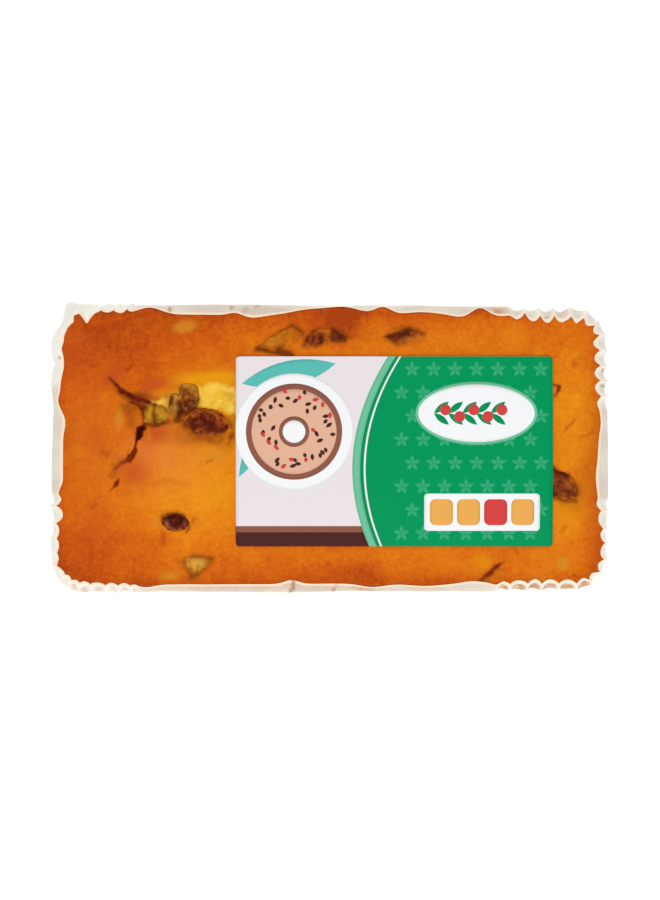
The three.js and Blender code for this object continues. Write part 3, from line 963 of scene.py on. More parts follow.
        # painted highlight: a bright cream line along the free rim
        colour = paint.mix(paint.part("rim", 0.9), colour, srgb(255, 226, 196))
        colour = paint.mix(paint.part("crease", 0.8), colour, srgb(160, 100, 62))
        fibres = paint.bump(paint.noise(1400.0, 3.0), 0.0001, 0.35)
        creased = paint.bump(paint.noise(160.0, 5.0, 0.6), 0.0008, 0.5, fibres)
        return paint.finish(colour, creased)

    def build(self) -> bpy.types.Object:
        """Makes the case in place of its plain solid."""
        made = self.surface().to_object("paper_case", self.finish())
        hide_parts("case")
        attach(made, BODY)
        return made


# -------------------------------- marks on the crust


@dataclass(frozen=True)
class Patch:
    """A soft-edged oval on the crown where something is stronger or, with a minus, weaker."""

    x: float
    y: float
    reach_x: float
    reach_y: float
    amount: float
    turn: float = 0.0

    def at(self, x: Array, y: Array) -> Array:
        """The patch's strength at points in plan, a bell curve of the oval distance."""
        angle = np.radians(self.turn)
        east, north = x - self.x, y - self.y
        along = (east * np.cos(angle) + north * np.sin(angle)) / self.reach_x
        across = (north * np.cos(angle) - east * np.sin(angle)) / self.reach_y
        return self.amount * np.exp(-(along**2 + across**2))


def patches(*rows: tuple[float, ...]) -> tuple[Patch, ...]:
    """Patches from rows of x, y, both reaches, the amount and, for a turned one, the turn."""
    return tuple(Patch(*row) for row in rows)


def painted(spots: tuple[Patch, ...], x: Array, y: Array) -> Array:
    """The sum of several patches."""
    return sum((spot.at(x, y) for spot in spots), np.zeros_like(x))


@dataclass(frozen=True)
class Mark:
    """A soft brown line on the crust or a fruit, such as a fruit's pocket edge; partly painted shade
    in the crevice it cuts.
    """

    reach: float
    amount: float
    path: tuple[tuple[float, float], ...]
    waver: float = 0.3
    waver_cell: float = 1.1
    softness: float = 1.2

    def at(self, x: Array, y: Array, noise: LatticeNoise) -> Array:
        """The mark's strength at points in plan: a bell curve of a wavering distance."""
        distance, _ = walk_past(np.array(self.path), x, y)
        stretch = 1.0 + self.waver * noise.over(x, y, self.waver_cell, 1, (0.0, 4.0))
        return self.amount * swell(distance * stretch, self.softness * self.reach)


def marks_of(*rows: tuple) -> tuple[Mark, ...]:
    """Marks from rows of the reach, the amount and then the places that the path goes through."""
    return tuple(Mark(reach, amount, tuple(path)) for reach, amount, *path in rows)


MARKS = marks_of(
    # round the upper sultana
    (0.6, 0.3, (-22.6, 39.0), (-18.3, 41.1), (-13.7, 43.6)),
    (0.9, 0.65, (-12.6, 43.4), (-10.9, 42.2), (-9.4, 40.8)),
    (0.8, 0.9, (-25.8, 35.1), (-23.7, 35.1), (-20.5, 34.2), (-16.6, 33.6), (-13.3, 33.3)),
    (1.0, 0.9, (-17.8, 35.0), (-16.2, 34.4), (-14.1, 33.4)),
    (0.7, 0.4, (-25.1, 35.8), (-23.3, 37.2)),
    # round the pair of raisins
    (0.8, 0.6, (-9.1, 36.5), (-7.7, 39.3), (-5.2, 41.5)),
    (0.7, 0.5, (-3.4, 40.8), (-2.7, 38.6), (-4.5, 36.5)),
    (1.1, 0.9, (1.6, 41.8), (3.4, 40.8), (5.5, 39.3)),
    (0.9, 0.6, (0.5, 39.7), (2.7, 37.9), (5.2, 38.6)),
    (0.6, 0.35, (-6.2, 42.2), (-2.7, 43.4), (0.9, 42.7)),
    # round the raisin in the slit
    (0.9, 0.75, (20.8, 40.0), (23.0, 40.1), (25.5, 41.2), (28.3, 42.1), (31.1, 41.8), (33.3, 40.8)),
    (1.0, 0.35, (23.0, 42.4), (25.6, 42.9), (28.4, 42.8)), (1.1, 0.5, (21.9, 39.0), (24.4, 37.4)),
    (0.7, 0.4, (25.5, 39.7), (26.9, 38.3)),
    # round the dark raisin
    (0.8, 0.7, (-51.1, 8.4), (-47.9, 7.7), (-45.0, 9.1), (-41.8, 7.3), (-38.3, 6.6)),
    (0.6, 0.6, (-52.5, 11.2), (-49.7, 13.3), (-45.7, 14.1), (-41.5, 13.2), (-38.3, 11.9)),
    (0.6, 0.6, (-38.3, 11.9), (-36.1, 10.5), (-35.1, 7.7)), (1.0, 0.5, (-47.2, 10.1), (-44.7, 10.9)),
    # round the brown raisin
    (0.8, 0.85, (-53.2, 16.2), (-52.2, 13.3), (-53.9, 9.8)),
    (0.9, 0.8, (-48.9, 14.1), (-47.5, 15.8), (-46.8, 17.3)),
    (0.6, 0.7, (-56.1, 15.8), (-55.7, 18.3)), (0.8, 0.5, (-52.5, 21.5), (-51.1, 20.5)),
    (0.8, 0.8, (-49.7, 13.3), (-52.2, 12.6)),
    # round the split sultana
    (0.6, 0.75, (-61.8, 15.8), (-62.1, 13.0), (-61.4, 8.7)),
    (0.7, 0.85, (-65.7, 15.1), (-66.0, 12.6), (-65.7, 10.9)),
    (0.6, 0.5, (-64.6, 8.7), (-61.8, 8.0), (-58.6, 9.1)),
    # round the lower sultana
    (0.8, 0.5, (-48.6, -38.1), (-45.7, -38.3), (-41.8, -39.0)),
    (1.1, 0.28, (-41.5, -39.7), (-44.0, -42.2), (-46.5, -44.3)),
    (0.8, 0.3, (-49.7, -45.7), (-47.5, -45.0)),
    (0.9, 0.35, (-51.8, -40.0), (-50.7, -42.5), (-49.3, -44.3)),
    (0.9, 0.25, (-53.9, -39.3), (-52.9, -41.5)),
    # round the raisin that looks like an eye
    (0.7, 0.9, (-59.3, -24.4), (-56.8, -23.1), (-53.9, -23.1), (-51.4, -24.2)),
    (0.5, 0.75, (-50.4, -26.5), (-49.7, -27.9), (-50.7, -29.4)),
    (0.5, 0.5, (-48.4, -26.2), (-47.9, -24.7)), (0.6, 0.2, (-58.9, -29.8), (-59.1, -33.8)),
    # round the raisin on the right
    (0.75, 0.95, (79.2, -6.6), (81.3, -8.7), (84.5, -9.4)),
    (0.8, 0.65, (79.6, -17.3), (83.1, -18.7), (87.4, -18.7)),
    (0.6, 0.45, (81.3, -13.0), (84.2, -14.8), (86.7, -16.2)),
    (0.7, 0.5, (87.4, -12.6), (88.1, -15.8)),
    # in and beside the cracks
    (1.0, 0.35, (-77.8, 24.6), (-74.4, 20.4), (-70.6, 17.8)),
    (1.4, 0.55, (-68.0, 18.9), (-65.6, 19.0), (-62.5, 17.0)),
    (1.2, 0.4, (-73.6, 19.4), (-70.4, 17.4), (-67.6, 16.6)),
    (1.5, 0.45, (54.6, -46.4), (57.4, -44.2), (59.4, -42.6)),
    (1.2, 0.5, (-33.6, 10.6), (-33.8, 7.2), (-34.8, 4.6)), (1.3, 0.6, (-67.4, 15.8), (-65.5, 14.6)),
    (1.7, 0.32, (-72.5, 14.5), (-70.8, 12.0), (-70.4, 8.4)),
    (1.3, 0.4, (-73.0, -4.4), (-75.4, -6.2), (-76.9, -9.2)),
    (1.0, 0.4, (-35.8, 19.4), (-35.2, 18.6)), (0.7, 0.35, (-42.6, 2.4), (-39.8, 1.9), (-37.6, 3.6)),
    (0.8, 0.4, (-34.2, 4.8), (-35.6, 1.8)), (1.4, 0.45, (-57.0, 17.6), (-57.4, 13.6)),
    (0.8, 0.35, (-65.5, 8.6), (-61.0, 8.2), (-57.0, 9.0)),
)
SCORCHES = marks_of(
    (0.6, 0.7, (-71.7, 27.7), (-70.0, 28.9)), (0.7, 0.5, (-84.6, 29.2), (-83.0, 29.5)),
    (0.7, 0.5, (-81.4, 44.0), (-81.0, 43.9)), (0.6, 0.45, (-78.2, 36.1), (-77.9, 36.0)),
    (0.6, 0.4, (-73.6, 35.8), (-73.4, 35.7)), (0.7, 0.6, (79.2, 22.6), (81.7, 21.9), (79.9, 18.7)),
    (0.45, 0.5, (87.0, 10.1), (85.3, 8.4), (83.8, 6.6)),
    (0.6, 0.3, (89.2, 4.1), (91.3, 4.8), (93.4, 5.9)), (0.9, 0.5, (86.9, 30.7), (87.1, 29.9)),
    (0.8, 0.35, (82.1, 37.6), (82.2, 37.3)), (0.45, 0.5, (66.4, -36.1), (66.8, -37.6)),
    (0.6, 0.4, (83.8, -27.8), (82.6, -28.9)), (0.6, 0.5, (86.7, -45.0), (88.1, -45.4)),
    (1.1, 0.16, (-62.1, -13.0), (-56.8, -11.2), (-49.7, -12.8)),
    (0.7, 0.35, (-58.9, -30.3), (-59.1, -33.8)), (0.7, 0.4, (-83.8, -20.8), (-82.9, -19.9)),
    (1.5, 0.4, (-80.0, -1.2), (-79.0, -2.0)), (0.5, 0.4, (-43.2, -4.7), (-41.6, -3.9)),
)
SHADES = patches(
    (-69.5, 12.0, 2.6, 3.6, 0.25), (-70.5, 15.0, 3.6, 1.8, 0.3), (-56.0, 9.6, 5.5, 2.5, 0.22),
    (-64.0, 4.4, 2.6, 3.0, 0.12), (5.0, 39.5, 12.0, 3.6, 0.12), (-67.6, 18.2, 3.0, 1.6, 0.25),
    (-47.0, 3.2, 8.5, 2.2, 0.42), (-52.0, 6.2, 3.0, 2.4, 0.25), (-57.2, 10.0, 2.0, 1.2, 0.25),
    (-53.0, 11.2, 1.6, 2.0, 0.45), (-40.5, 4.6, 3.0, 1.8, 0.25), (-36.5, 0.5, 3.0, 3.0, 0.2),
    (88.6, -14.5, 2.0, 4.5, 0.36), (85.5, -20.6, 5.0, 2.4, 0.24), (25.6, 43.2, 4.0, 1.0, 0.2),
    (-14.0, 40.4, 2.6, 1.6, 0.2), (-49.6, -46.4, 2.6, 1.3, 0.25), (0.0, -50.0, 110.0, 5.4, 0.2),
    (97.0, 0.0, 5.6, 60.0, 0.2),
)


def marked(marks: tuple[Mark, ...], x: Array, y: Array, noise: LatticeNoise) -> Array:
    """How strongly any of some marks shows at points in plan, held at 1."""
    total = sum((mark.at(x, y, noise) for mark in marks), np.zeros_like(x))
    return np.clip(total, 0.0, 1.0)


# -------------------------------- raisins and sultanas


class FruitKind(Enum):
    """The kinds of dried fruit: the skin's light on ridges and dark in folds, the colour of paler
    flesh and painted highlights, and the gloss.
    """

    DARK = ("dark_raisin", srgb(110, 36, 18), srgb(58, 8, 4), srgb(168, 98, 64), 0.4)
    RED = ("red_raisin", srgb(140, 60, 22), srgb(80, 18, 4), srgb(178, 102, 40), 0.5)
    BROWN = ("brown_raisin", srgb(154, 86, 26), srgb(94, 34, 8), srgb(206, 154, 82), 0.5)
    GOLDEN = ("golden_sultana", srgb(192, 134, 22), srgb(140, 78, 2), srgb(200, 148, 46), 0.5)
    AMBER = ("amber_sultana", srgb(200, 112, 14), srgb(160, 78, 8), srgb(192, 126, 24), 0.55)
    PALE = ("pale_sultana", srgb(210, 146, 44), srgb(160, 92, 14), srgb(216, 158, 66), 0.55)

    @property
    def skirt(self) -> tuple[Colour, Colour]:
        """Two tones of what has grown over its edge: crumb in the crack, crust elsewhere."""
        if self in (FruitKind.BROWN, FruitKind.GOLDEN):
            return srgb(202, 146, 44), srgb(172, 106, 28)
        return srgb(206, 112, 20), srgb(186, 92, 16)

    def finish(self) -> bpy.types.Material:
        """Wrinkled skin: dark in the folds as painted shade, cake-coloured where the cake has grown
        over it, with paler flesh and painted highlights.
        """
        name, light, dark, flesh_and_highlight, gloss = self.value
        known = bpy.data.materials.get(name)
        if known:
            return known
        paint = Finish(name, roughness=gloss, specular=0.05)
        cloud = paint.remap(paint.noise(560.0, 3.0), (0, 1), (-0.25, 0.25))
        ridge = paint.maths("ADD", paint.attribute("ridge"), cloud)
        # ridges light, folds dark: painted shade in the folds
        skin = paint.ramp(ridge, [(0.1, dark), (0.9, light)])
        # paler flesh and painted highlights
        skin = paint.mix(paint.attribute("flesh_and_highlight"), skin, flesh_and_highlight)
        skirt = paint.mix(paint.remap(paint.noise(600.0, 4.0), (0.3, 0.7)), *self.skirt)
        fray = paint.remap(paint.noise(750.0, 3.0), (0, 1), (-0.12, 0.12))
        veil = paint.remap(paint.maths("ADD", paint.attribute("veil"), fray), (0.1, 0.9))
        colour = paint.mix(veil, skin, skirt)
        # brown marks, partly painted shade in crevices and round the fruit
        colour = paint.mix(paint.part("mark", 0.85), colour, srgb(84, 26, 6))
        grain = paint.bump(paint.noise(1500.0, 3.0), 0.0002, 0.5)
        return paint.finish(colour, grain, paint.remap(veil, (0, 1), (gloss, 0.7)))


@dataclass(frozen=True)
class FruitPiece:
    """One raisin or sultana, set into the crust: a flat dome with a shrivelled skin.

    Args:
        node: the solid that it stands for.
        kind: what fruit it is.
        x: its middle along the loaf.
        y: its middle across the loaf.
        corners: its plan outline, places from its middle that a smooth closed curve joins.
        thick: how thick it is.
        proud: how far its top stands above the crust around it.
        wrinkles: how deep its folds are.
        edge: how far the crust veils its edge.
        soft: how much of the way out the veiled edge takes.
        veils: where the crust has grown over it.
        tones: where paler flesh and painted highlights show or, with a minus, where the skin is
            darkened, partly by painted shade.
        sunken: how much larger it is than its outline, where the crust hides it.
        frayed: how uneven its outline is.
        fold_cell: how far apart its folds lie.
        fold_level: the ridge height that neither rises nor sinks.
        fold_gain: how soon a ridge is full.
        least_light: how light its deepest folds are.
        mark_depth: how deep the marks cut into it.
        wander: how far the veiled edge strays.
        wander_cell: how far apart its strayings lie.
    """

    node: str
    kind: FruitKind
    x: float
    y: float
    corners: tuple[tuple[float, float], ...]
    thick: float = 5.5
    proud: float = 0.25
    wrinkles: float = 0.4
    edge: float = 0.8
    soft: float = 0.25
    veils: tuple[Patch, ...] = ()
    tones: tuple[Patch, ...] = ()
    sunken: float = 1.1
    frayed: float = 0.06
    fold_cell: float = 2.3
    fold_level: float = 0.6
    fold_gain: float = 1.3
    least_light: float = 0.15
    mark_depth: float = 0.3
    wander: float = 0.2
    wander_cell: float = 1.6
    around: int = 96
    rings: int = 44

    def reach(self, angle: Array) -> Array:
        """How far the outline is from the middle at an angle.

        Between two corners the closed curve is a cubic whose slope at each corner is half the
        way from the corner before it to the corner after it.
        """
        corner = np.array(self.corners)[None]
        before, after = np.roll(corner, 1, 1), np.roll(corner, -1, 1)
        beyond = np.roll(corner, -2, 1)
        t = np.linspace(0.0, 1.0, 12, endpoint=False)[:, None, None]
        curve = corner + 0.5 * t * (after - before) + 0.5 * t**2 * (
            2 * before - 5 * corner + 4 * after - beyond
        ) + 0.5 * t**3 * (3 * corner - before - 3 * after + beyond)
        east, north = curve[..., 0].ravel(), curve[..., 1].ravel()
        return np.interp(angle, np.arctan2(north, east), np.hypot(east, north), period=2 * np.pi)

    def share(self, x: Array, y: Array) -> Array:
        """How far out points in plan are: 0 at the middle, 1 on the outline."""
        east, north = x - self.x, y - self.y
        return np.hypot(east, north) / self.reach(np.arctan2(north, east))

    def inside(self, x: Array, y: Array) -> Array:
        """About how far inside the outline points in plan are, in millimetres."""
        size = np.hypot(*np.ptp(np.array(self.corners), axis=0)) / 3.6
        return (1.0 - self.share(x, y)) * size

    def surface(self, ground: float, seed: int) -> Surface:
        """Builds the piece.

        Rings go from its underside to its top, each a share of the outline; the height above
        its middle is the root of what an eighth power of the share leaves of 1, which makes a
        flat dome. The outline is a little larger where the crust hides it. The size of
        layered noise lifts folds, and marks cut into them.

        Args:
            ground: the crust's height around the piece.
            seed: the number that its folds are drawn from.

        Returns:
            The closed surface, with the values that its finish reads.
        """
        half = self.thick / 2
        under = np.array([0.3, 0.7, 0.9, 0.97])
        upper = np.linspace(1.0, 0.02, self.rings)
        share = np.concatenate([under, upper])[:, None]
        below = np.arange(len(share))[:, None] < len(under)
        dome = half * np.sqrt(1.0 - share**8) * np.where(below, -1, 1)
        angle = (2 * np.pi * np.arange(self.around) / self.around)[None, :]
        noise = LatticeNoise(seed)
        fray = noise.layered(2.5 * np.cos(angle) + 3.0, 2.5 * np.sin(angle) + 3.0, layers=3)
        share = self.sunken * share * (1.0 + self.frayed * fray)
        x = self.x + share * self.reach(angle) * np.cos(angle)
        y = self.y + share * self.reach(angle) * np.sin(angle)
        crimp = noise.over(x, y, self.fold_cell, 4)
        ridge = np.clip(self.fold_gain * np.abs(crimp), 0.0, 1.0)
        marks = marked(MARKS, x, y, noise)
        cut = self.wrinkles * (self.fold_level - ridge) + self.mark_depth * marks
        # the shade patches add painted shade to the fruit's marks
        marks = np.clip(marks + painted(SHADES, x, y), 0.0, 1.0)
        z = ground + self.proud - half + dome - np.where(dome > 0.0, cut, 0.0)
        lowest = np.array([self.x, self.y, ground + self.proud - self.thick])
        highest = np.array([self.x, self.y, z[-1].mean()])
        piece = tube_like(list(np.stack([x, y, z], axis=-1)), lowest, highest)
        stray = noise.over(x, y, self.wander_cell, 3, (9.0, 0.0))
        rind = smooth_step((share - 1.0 + self.soft + self.wander * stray) / self.soft)
        veil = np.clip(painted(self.veils, x, y) + self.edge * rind, 0.0, 1.0)
        # tone: plus paints paler flesh and highlights, minus paints shade into the skin
        tone = painted(self.tones, x, y)
        flesh_and_highlight = np.clip(tone, 0.0, 1.0)
        ridge = blend(self.least_light, 1.0, ridge)
        ridge = np.clip(ridge + np.minimum(tone, 0.0), 0.0, 1.0)
        for key, value, at_foot in (
            ("ridge", ridge, 0.5),
            ("veil", veil, 1.0),
            ("flesh_and_highlight", flesh_and_highlight, 0.0),
            ("mark", marks, 0.0),
        ):
            piece.values[key] = np.append(value.ravel(), [at_foot, value[-1].mean()])
        return piece

    def build(self, ground: float, seed: int) -> bpy.types.Object:
        """Makes the piece in place of its plain solid."""
        made = self.surface(ground, seed).to_object(f"fruit_{self.node}", self.kind.finish())
        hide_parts(self.node)
        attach(made, BODY)
        return made


FRUIT = (
    FruitPiece(
        "raisin_eye", FruitKind.DARK, -54.5, -25.8,
        ((-5.1, 0.3), (-2.9, 2.5), (-0.1, 3.2), (2.7, 2.5), (4.9, 0.2), (4.2, -1.9),
         (2.0, -3.2), (-1.2, -3.4), (-3.7, -2.3)),
        wrinkles=0.3, edge=0.6, soft=0.12,
        tones=patches(
            (-57.6, -26.9, 0.8, 1.5, 0.75, 10), (-56.0, -28.2, 1.4, 0.6, 0.4, -20),
            (-51.2, -26.8, 0.8, 1.1, 0.45), (-53.4, -25.4, 2.4, 1.6, -0.1),
            (-55.0, -24.0, 3.4, 0.8, -0.6),
        ),
    ),
    FruitPiece(
        "raisin_dark", FruitKind.RED, -43.6, 8.8,
        ((-9.0, 0.4), (-7.6, 3.4), (-4.9, 5.0), (-1.2, 5.2), (3.0, 4.6), (6.6, 2.6), (8.9, -1.1),
         (7.0, -4.0), (1.6, -5.7), (-3.4, -5.6), (-7.2, -3.8)),
        thick=6.0, wrinkles=0.36, edge=0.85, soft=0.42,
        veils=patches((-46.5, 3.2, 8.0, 2.2, 0.6), (-51.5, 6.0, 2.0, 2.8, 0.35)),
        tones=patches(
            (-44.3, 10.9, 1.5, 1.2, -0.6), (-47.9, 10.0, 1.4, 1.2, -0.6),
            (-41.8, 8.6, 2.4, 0.9, -0.6, -15), (-36.3, 7.8, 1.3, 1.3, -0.3),
            (-49.3, 13.3, 1.2, 1.0, -0.4), (-47.4, 12.1, 1.0, 0.9, 0.45), (-51.4, 9.6, 0.9, 0.9, 0.2),
            (-39.5, 12.0, 3.0, 0.9, 0.35, -25),
        ),
    ),
    FruitPiece(
        "raisin_brown", FruitKind.BROWN, -51.9, 16.2,
        ((-0.8, 6.2), (2.0, 6.5), (4.7, 5.4), (5.2, -0.2), (2.4, -3.2), (-0.4, -4.6), (-2.0, -6.5),
         (-3.7, -5.7), (-4.7, -2.5), (-4.3, 2.1), (-2.7, 3.3), (-1.4, 2.6)),
        thick=6.0, wrinkles=0.35, edge=0.75, soft=0.56,
        tones=patches(
            (-54.2, 18.2, 1.0, 2.0, 0.7), (-54.8, 14.2, 0.9, 1.6, 0.55),
            (-52.6, 12.0, 1.8, 1.2, -1.0, 20), (-47.9, 16.2, 1.0, 1.7, -0.6),
            (-53.7, 10.0, 1.4, 1.2, -1.0), (-50.3, 16.0, 1.6, 1.2, -0.35),
            (-48.6, 18.4, 1.0, 2.0, 0.2),
        ),
    ),
    FruitPiece(
        "sultana_split", FruitKind.GOLDEN, -61.6, 12.0,
        ((-4.5, 2.4), (-2.6, 3.6), (-0.2, 3.5), (2.6, 3.0), (4.9, 0.7), (4.5, -2.0), (1.4, -3.6),
         (-2.3, -3.9), (-4.4, -1.9)),
        proud=0.1, wrinkles=0.15, edge=0.65, soft=0.4,
        tones=patches((-63.8, 12.4, 0.9, 2.0, 0.35), (-59.0, 11.9, 1.5, 1.9, 0.9)),
    ),
    FruitPiece(
        "sultana_upper", FruitKind.AMBER, -18.0, 38.2,
        ((-7.6, -2.6), (-5.4, 0.0), (-1.0, 2.7), (4.3, 5.2), (6.4, 4.7), (8.4, 2.8), (6.8, 0.1),
         (3.4, -2.6), (3.2, -4.4), (-1.4, -4.4), (-5.7, -4.2)),
        wrinkles=0.2, edge=0.9, soft=0.35,
        veils=patches((-12.0, 41.0, 3.6, 2.2, 0.35), (-11.0, 37.8, 2.4, 2.4, 0.6)),
        tones=patches(
            (-20.0, 38.4, 4.0, 1.4, 0.7, 32), (-23.9, 35.9, 0.8, 0.6, 0.6),
            (-15.7, 35.6, 0.7, 0.6, 0.5), (-20.0, 34.4, 5.5, 0.7, -0.6, -5),
        ),
    ),
    FruitPiece(
        "raisin_pair", FruitKind.RED, -2.2, 39.2,
        ((-7.2, -2.4), (-5.8, 0.5), (-3.3, 2.6), (-0.1, 3.4), (3.4, 3.0), (6.3, 2.5), (8.3, 0.5),
         (6.3, -1.5), (2.7, -1.5), (-0.8, -2.7), (-4.7, -3.4)),
        thick=5.0, wrinkles=0.3, edge=0.85, soft=0.34,
        veils=patches((-0.6, 40.2, 1.9, 3.4, 0.7), (-2.0, 42.6, 4.4, 1.0, 0.6)),
        tones=patches(
            (-4.9, 40.4, 0.8, 0.8, 0.2), (-6.6, 37.6, 1.6, 0.7, 0.2, 20), (1.8, 37.4, 1.5, 0.7, 0.5),
            (4.2, 39.8, 2.2, 0.9, -0.25), (-6.0, 39.2, 1.4, 1.2, -0.35), (-3.0, 39.2, 0.8, 1.6, -0.4),
        ),
    ),
    FruitPiece(
        "raisin_slit", FruitKind.RED, 25.8, 39.5,
        ((-7.8, 0.2), (-4.6, 0.9), (-1.4, 2.4), (2.5, 3.0), (6.1, 2.2), (8.2, 0.5), (6.4, -2.1),
         (2.1, -3.0), (-2.1, -2.8), (-5.3, -1.6)),
        thick=5.0, proud=0.1, wrinkles=0.3, edge=0.85, soft=0.42,
        veils=patches(
            (30.0, 37.4, 4.4, 1.7, 0.9), (32.8, 39.2, 2.0, 2.5, 0.6), (19.2, 38.4, 3.2, 1.8, 0.8),
        ),
        tones=patches(
            (28.4, 38.5, 2.4, 1.1, 1.0), (31.3, 40.2, 1.4, 0.8, 0.8), (25.2, 38.0, 0.8, 0.5, 0.5),
            (27.5, 41.4, 3.6, 0.9, -0.5),
        ),
    ),
    FruitPiece(
        "raisin_right", FruitKind.RED, 80.5, -12.7,
        ((-4.2, 6.4), (-0.2, 5.9), (4.1, 3.6), (6.4, 0.7), (7.1, -2.6), (6.0, -5.3), (2.3, -5.6),
         (-1.6, -4.6), (-4.8, -3.6), (-5.6, 1.5)),
        thick=6.0, wrinkles=0.42, edge=0.8, soft=0.26,
        tones=patches(
            (79.6, -10.8, 1.3, 2.2, 0.45), (84.0, -12.2, 0.8, 3.2, 0.5, 35),
            (82.4, -15.8, 2.2, 0.7, 0.3, -20), (81.8, -8.6, 3.0, 0.8, -0.6, -25),
        ),
    ),
    FruitPiece(
        "sultana_lower", FruitKind.PALE, -46.8, -41.2,
        ((-5.4, 2.4), (-0.7, 3.5), (4.2, 2.7), (5.3, 1.6), (2.8, -1.3), (-1.1, -4.5), (-3.2, -2.8)),
        thick=5.0, wrinkles=0.12, edge=0.85, soft=0.62,
        tones=patches((-46.9, -40.2, 3.2, 2.2, 0.85)),
    ),
)


# -------------------------------- the cake


@dataclass(frozen=True)
class Station:
    """A place on a crack: where, how wide and how deep it is."""

    x: float
    y: float
    width: float
    depth: float


@dataclass(frozen=True)
class Crack:
    """A crack through its stations; floor rounds its bed, 1 for a sharp one."""

    stations: tuple[Station, ...]
    floor: float
    ragged: float
    frayed: float = 1.2
    fray_cell: float = 1.8

    def cut(self, x: Array, y: Array, noise: LatticeNoise) -> Pair:
        """Works out how deep the crack is under points in plan.

        Width and depth go straight from station to station by the way walked along the crack,
        and the bed rises from the middle to the edge by a power of the distance.

        Args:
            x: the points' x.
            y: the points' y.
            noise: what frays the edges.

        Returns:
            The depth, and how far inside the crack's edge each point is, as a share.
        """
        path = np.array([(place.x, place.y) for place in self.stations])
        distance, walked = walk_past(path, x, y)
        stops = np.arange(len(path))
        half = np.interp(walked, stops, [place.width / 2 for place in self.stations])
        deep = np.interp(walked, stops, [place.depth for place in self.stations])
        fray = self.ragged * noise.over(x, y, self.fray_cell, 3)
        across = np.clip((distance + fray * np.minimum(half, self.frayed)) / half, 0.0, 1.0)
        return deep * (1.0 - across**self.floor), 1.0 - across


def crack(floor: float, ragged: float, *rows: tuple[float, float, float, float]) -> Crack:
    """A crack from its floor's shape, its raggedness and rows of x, y, width and depth."""
    return Crack(tuple(Station(*row) for row in rows), floor, ragged)


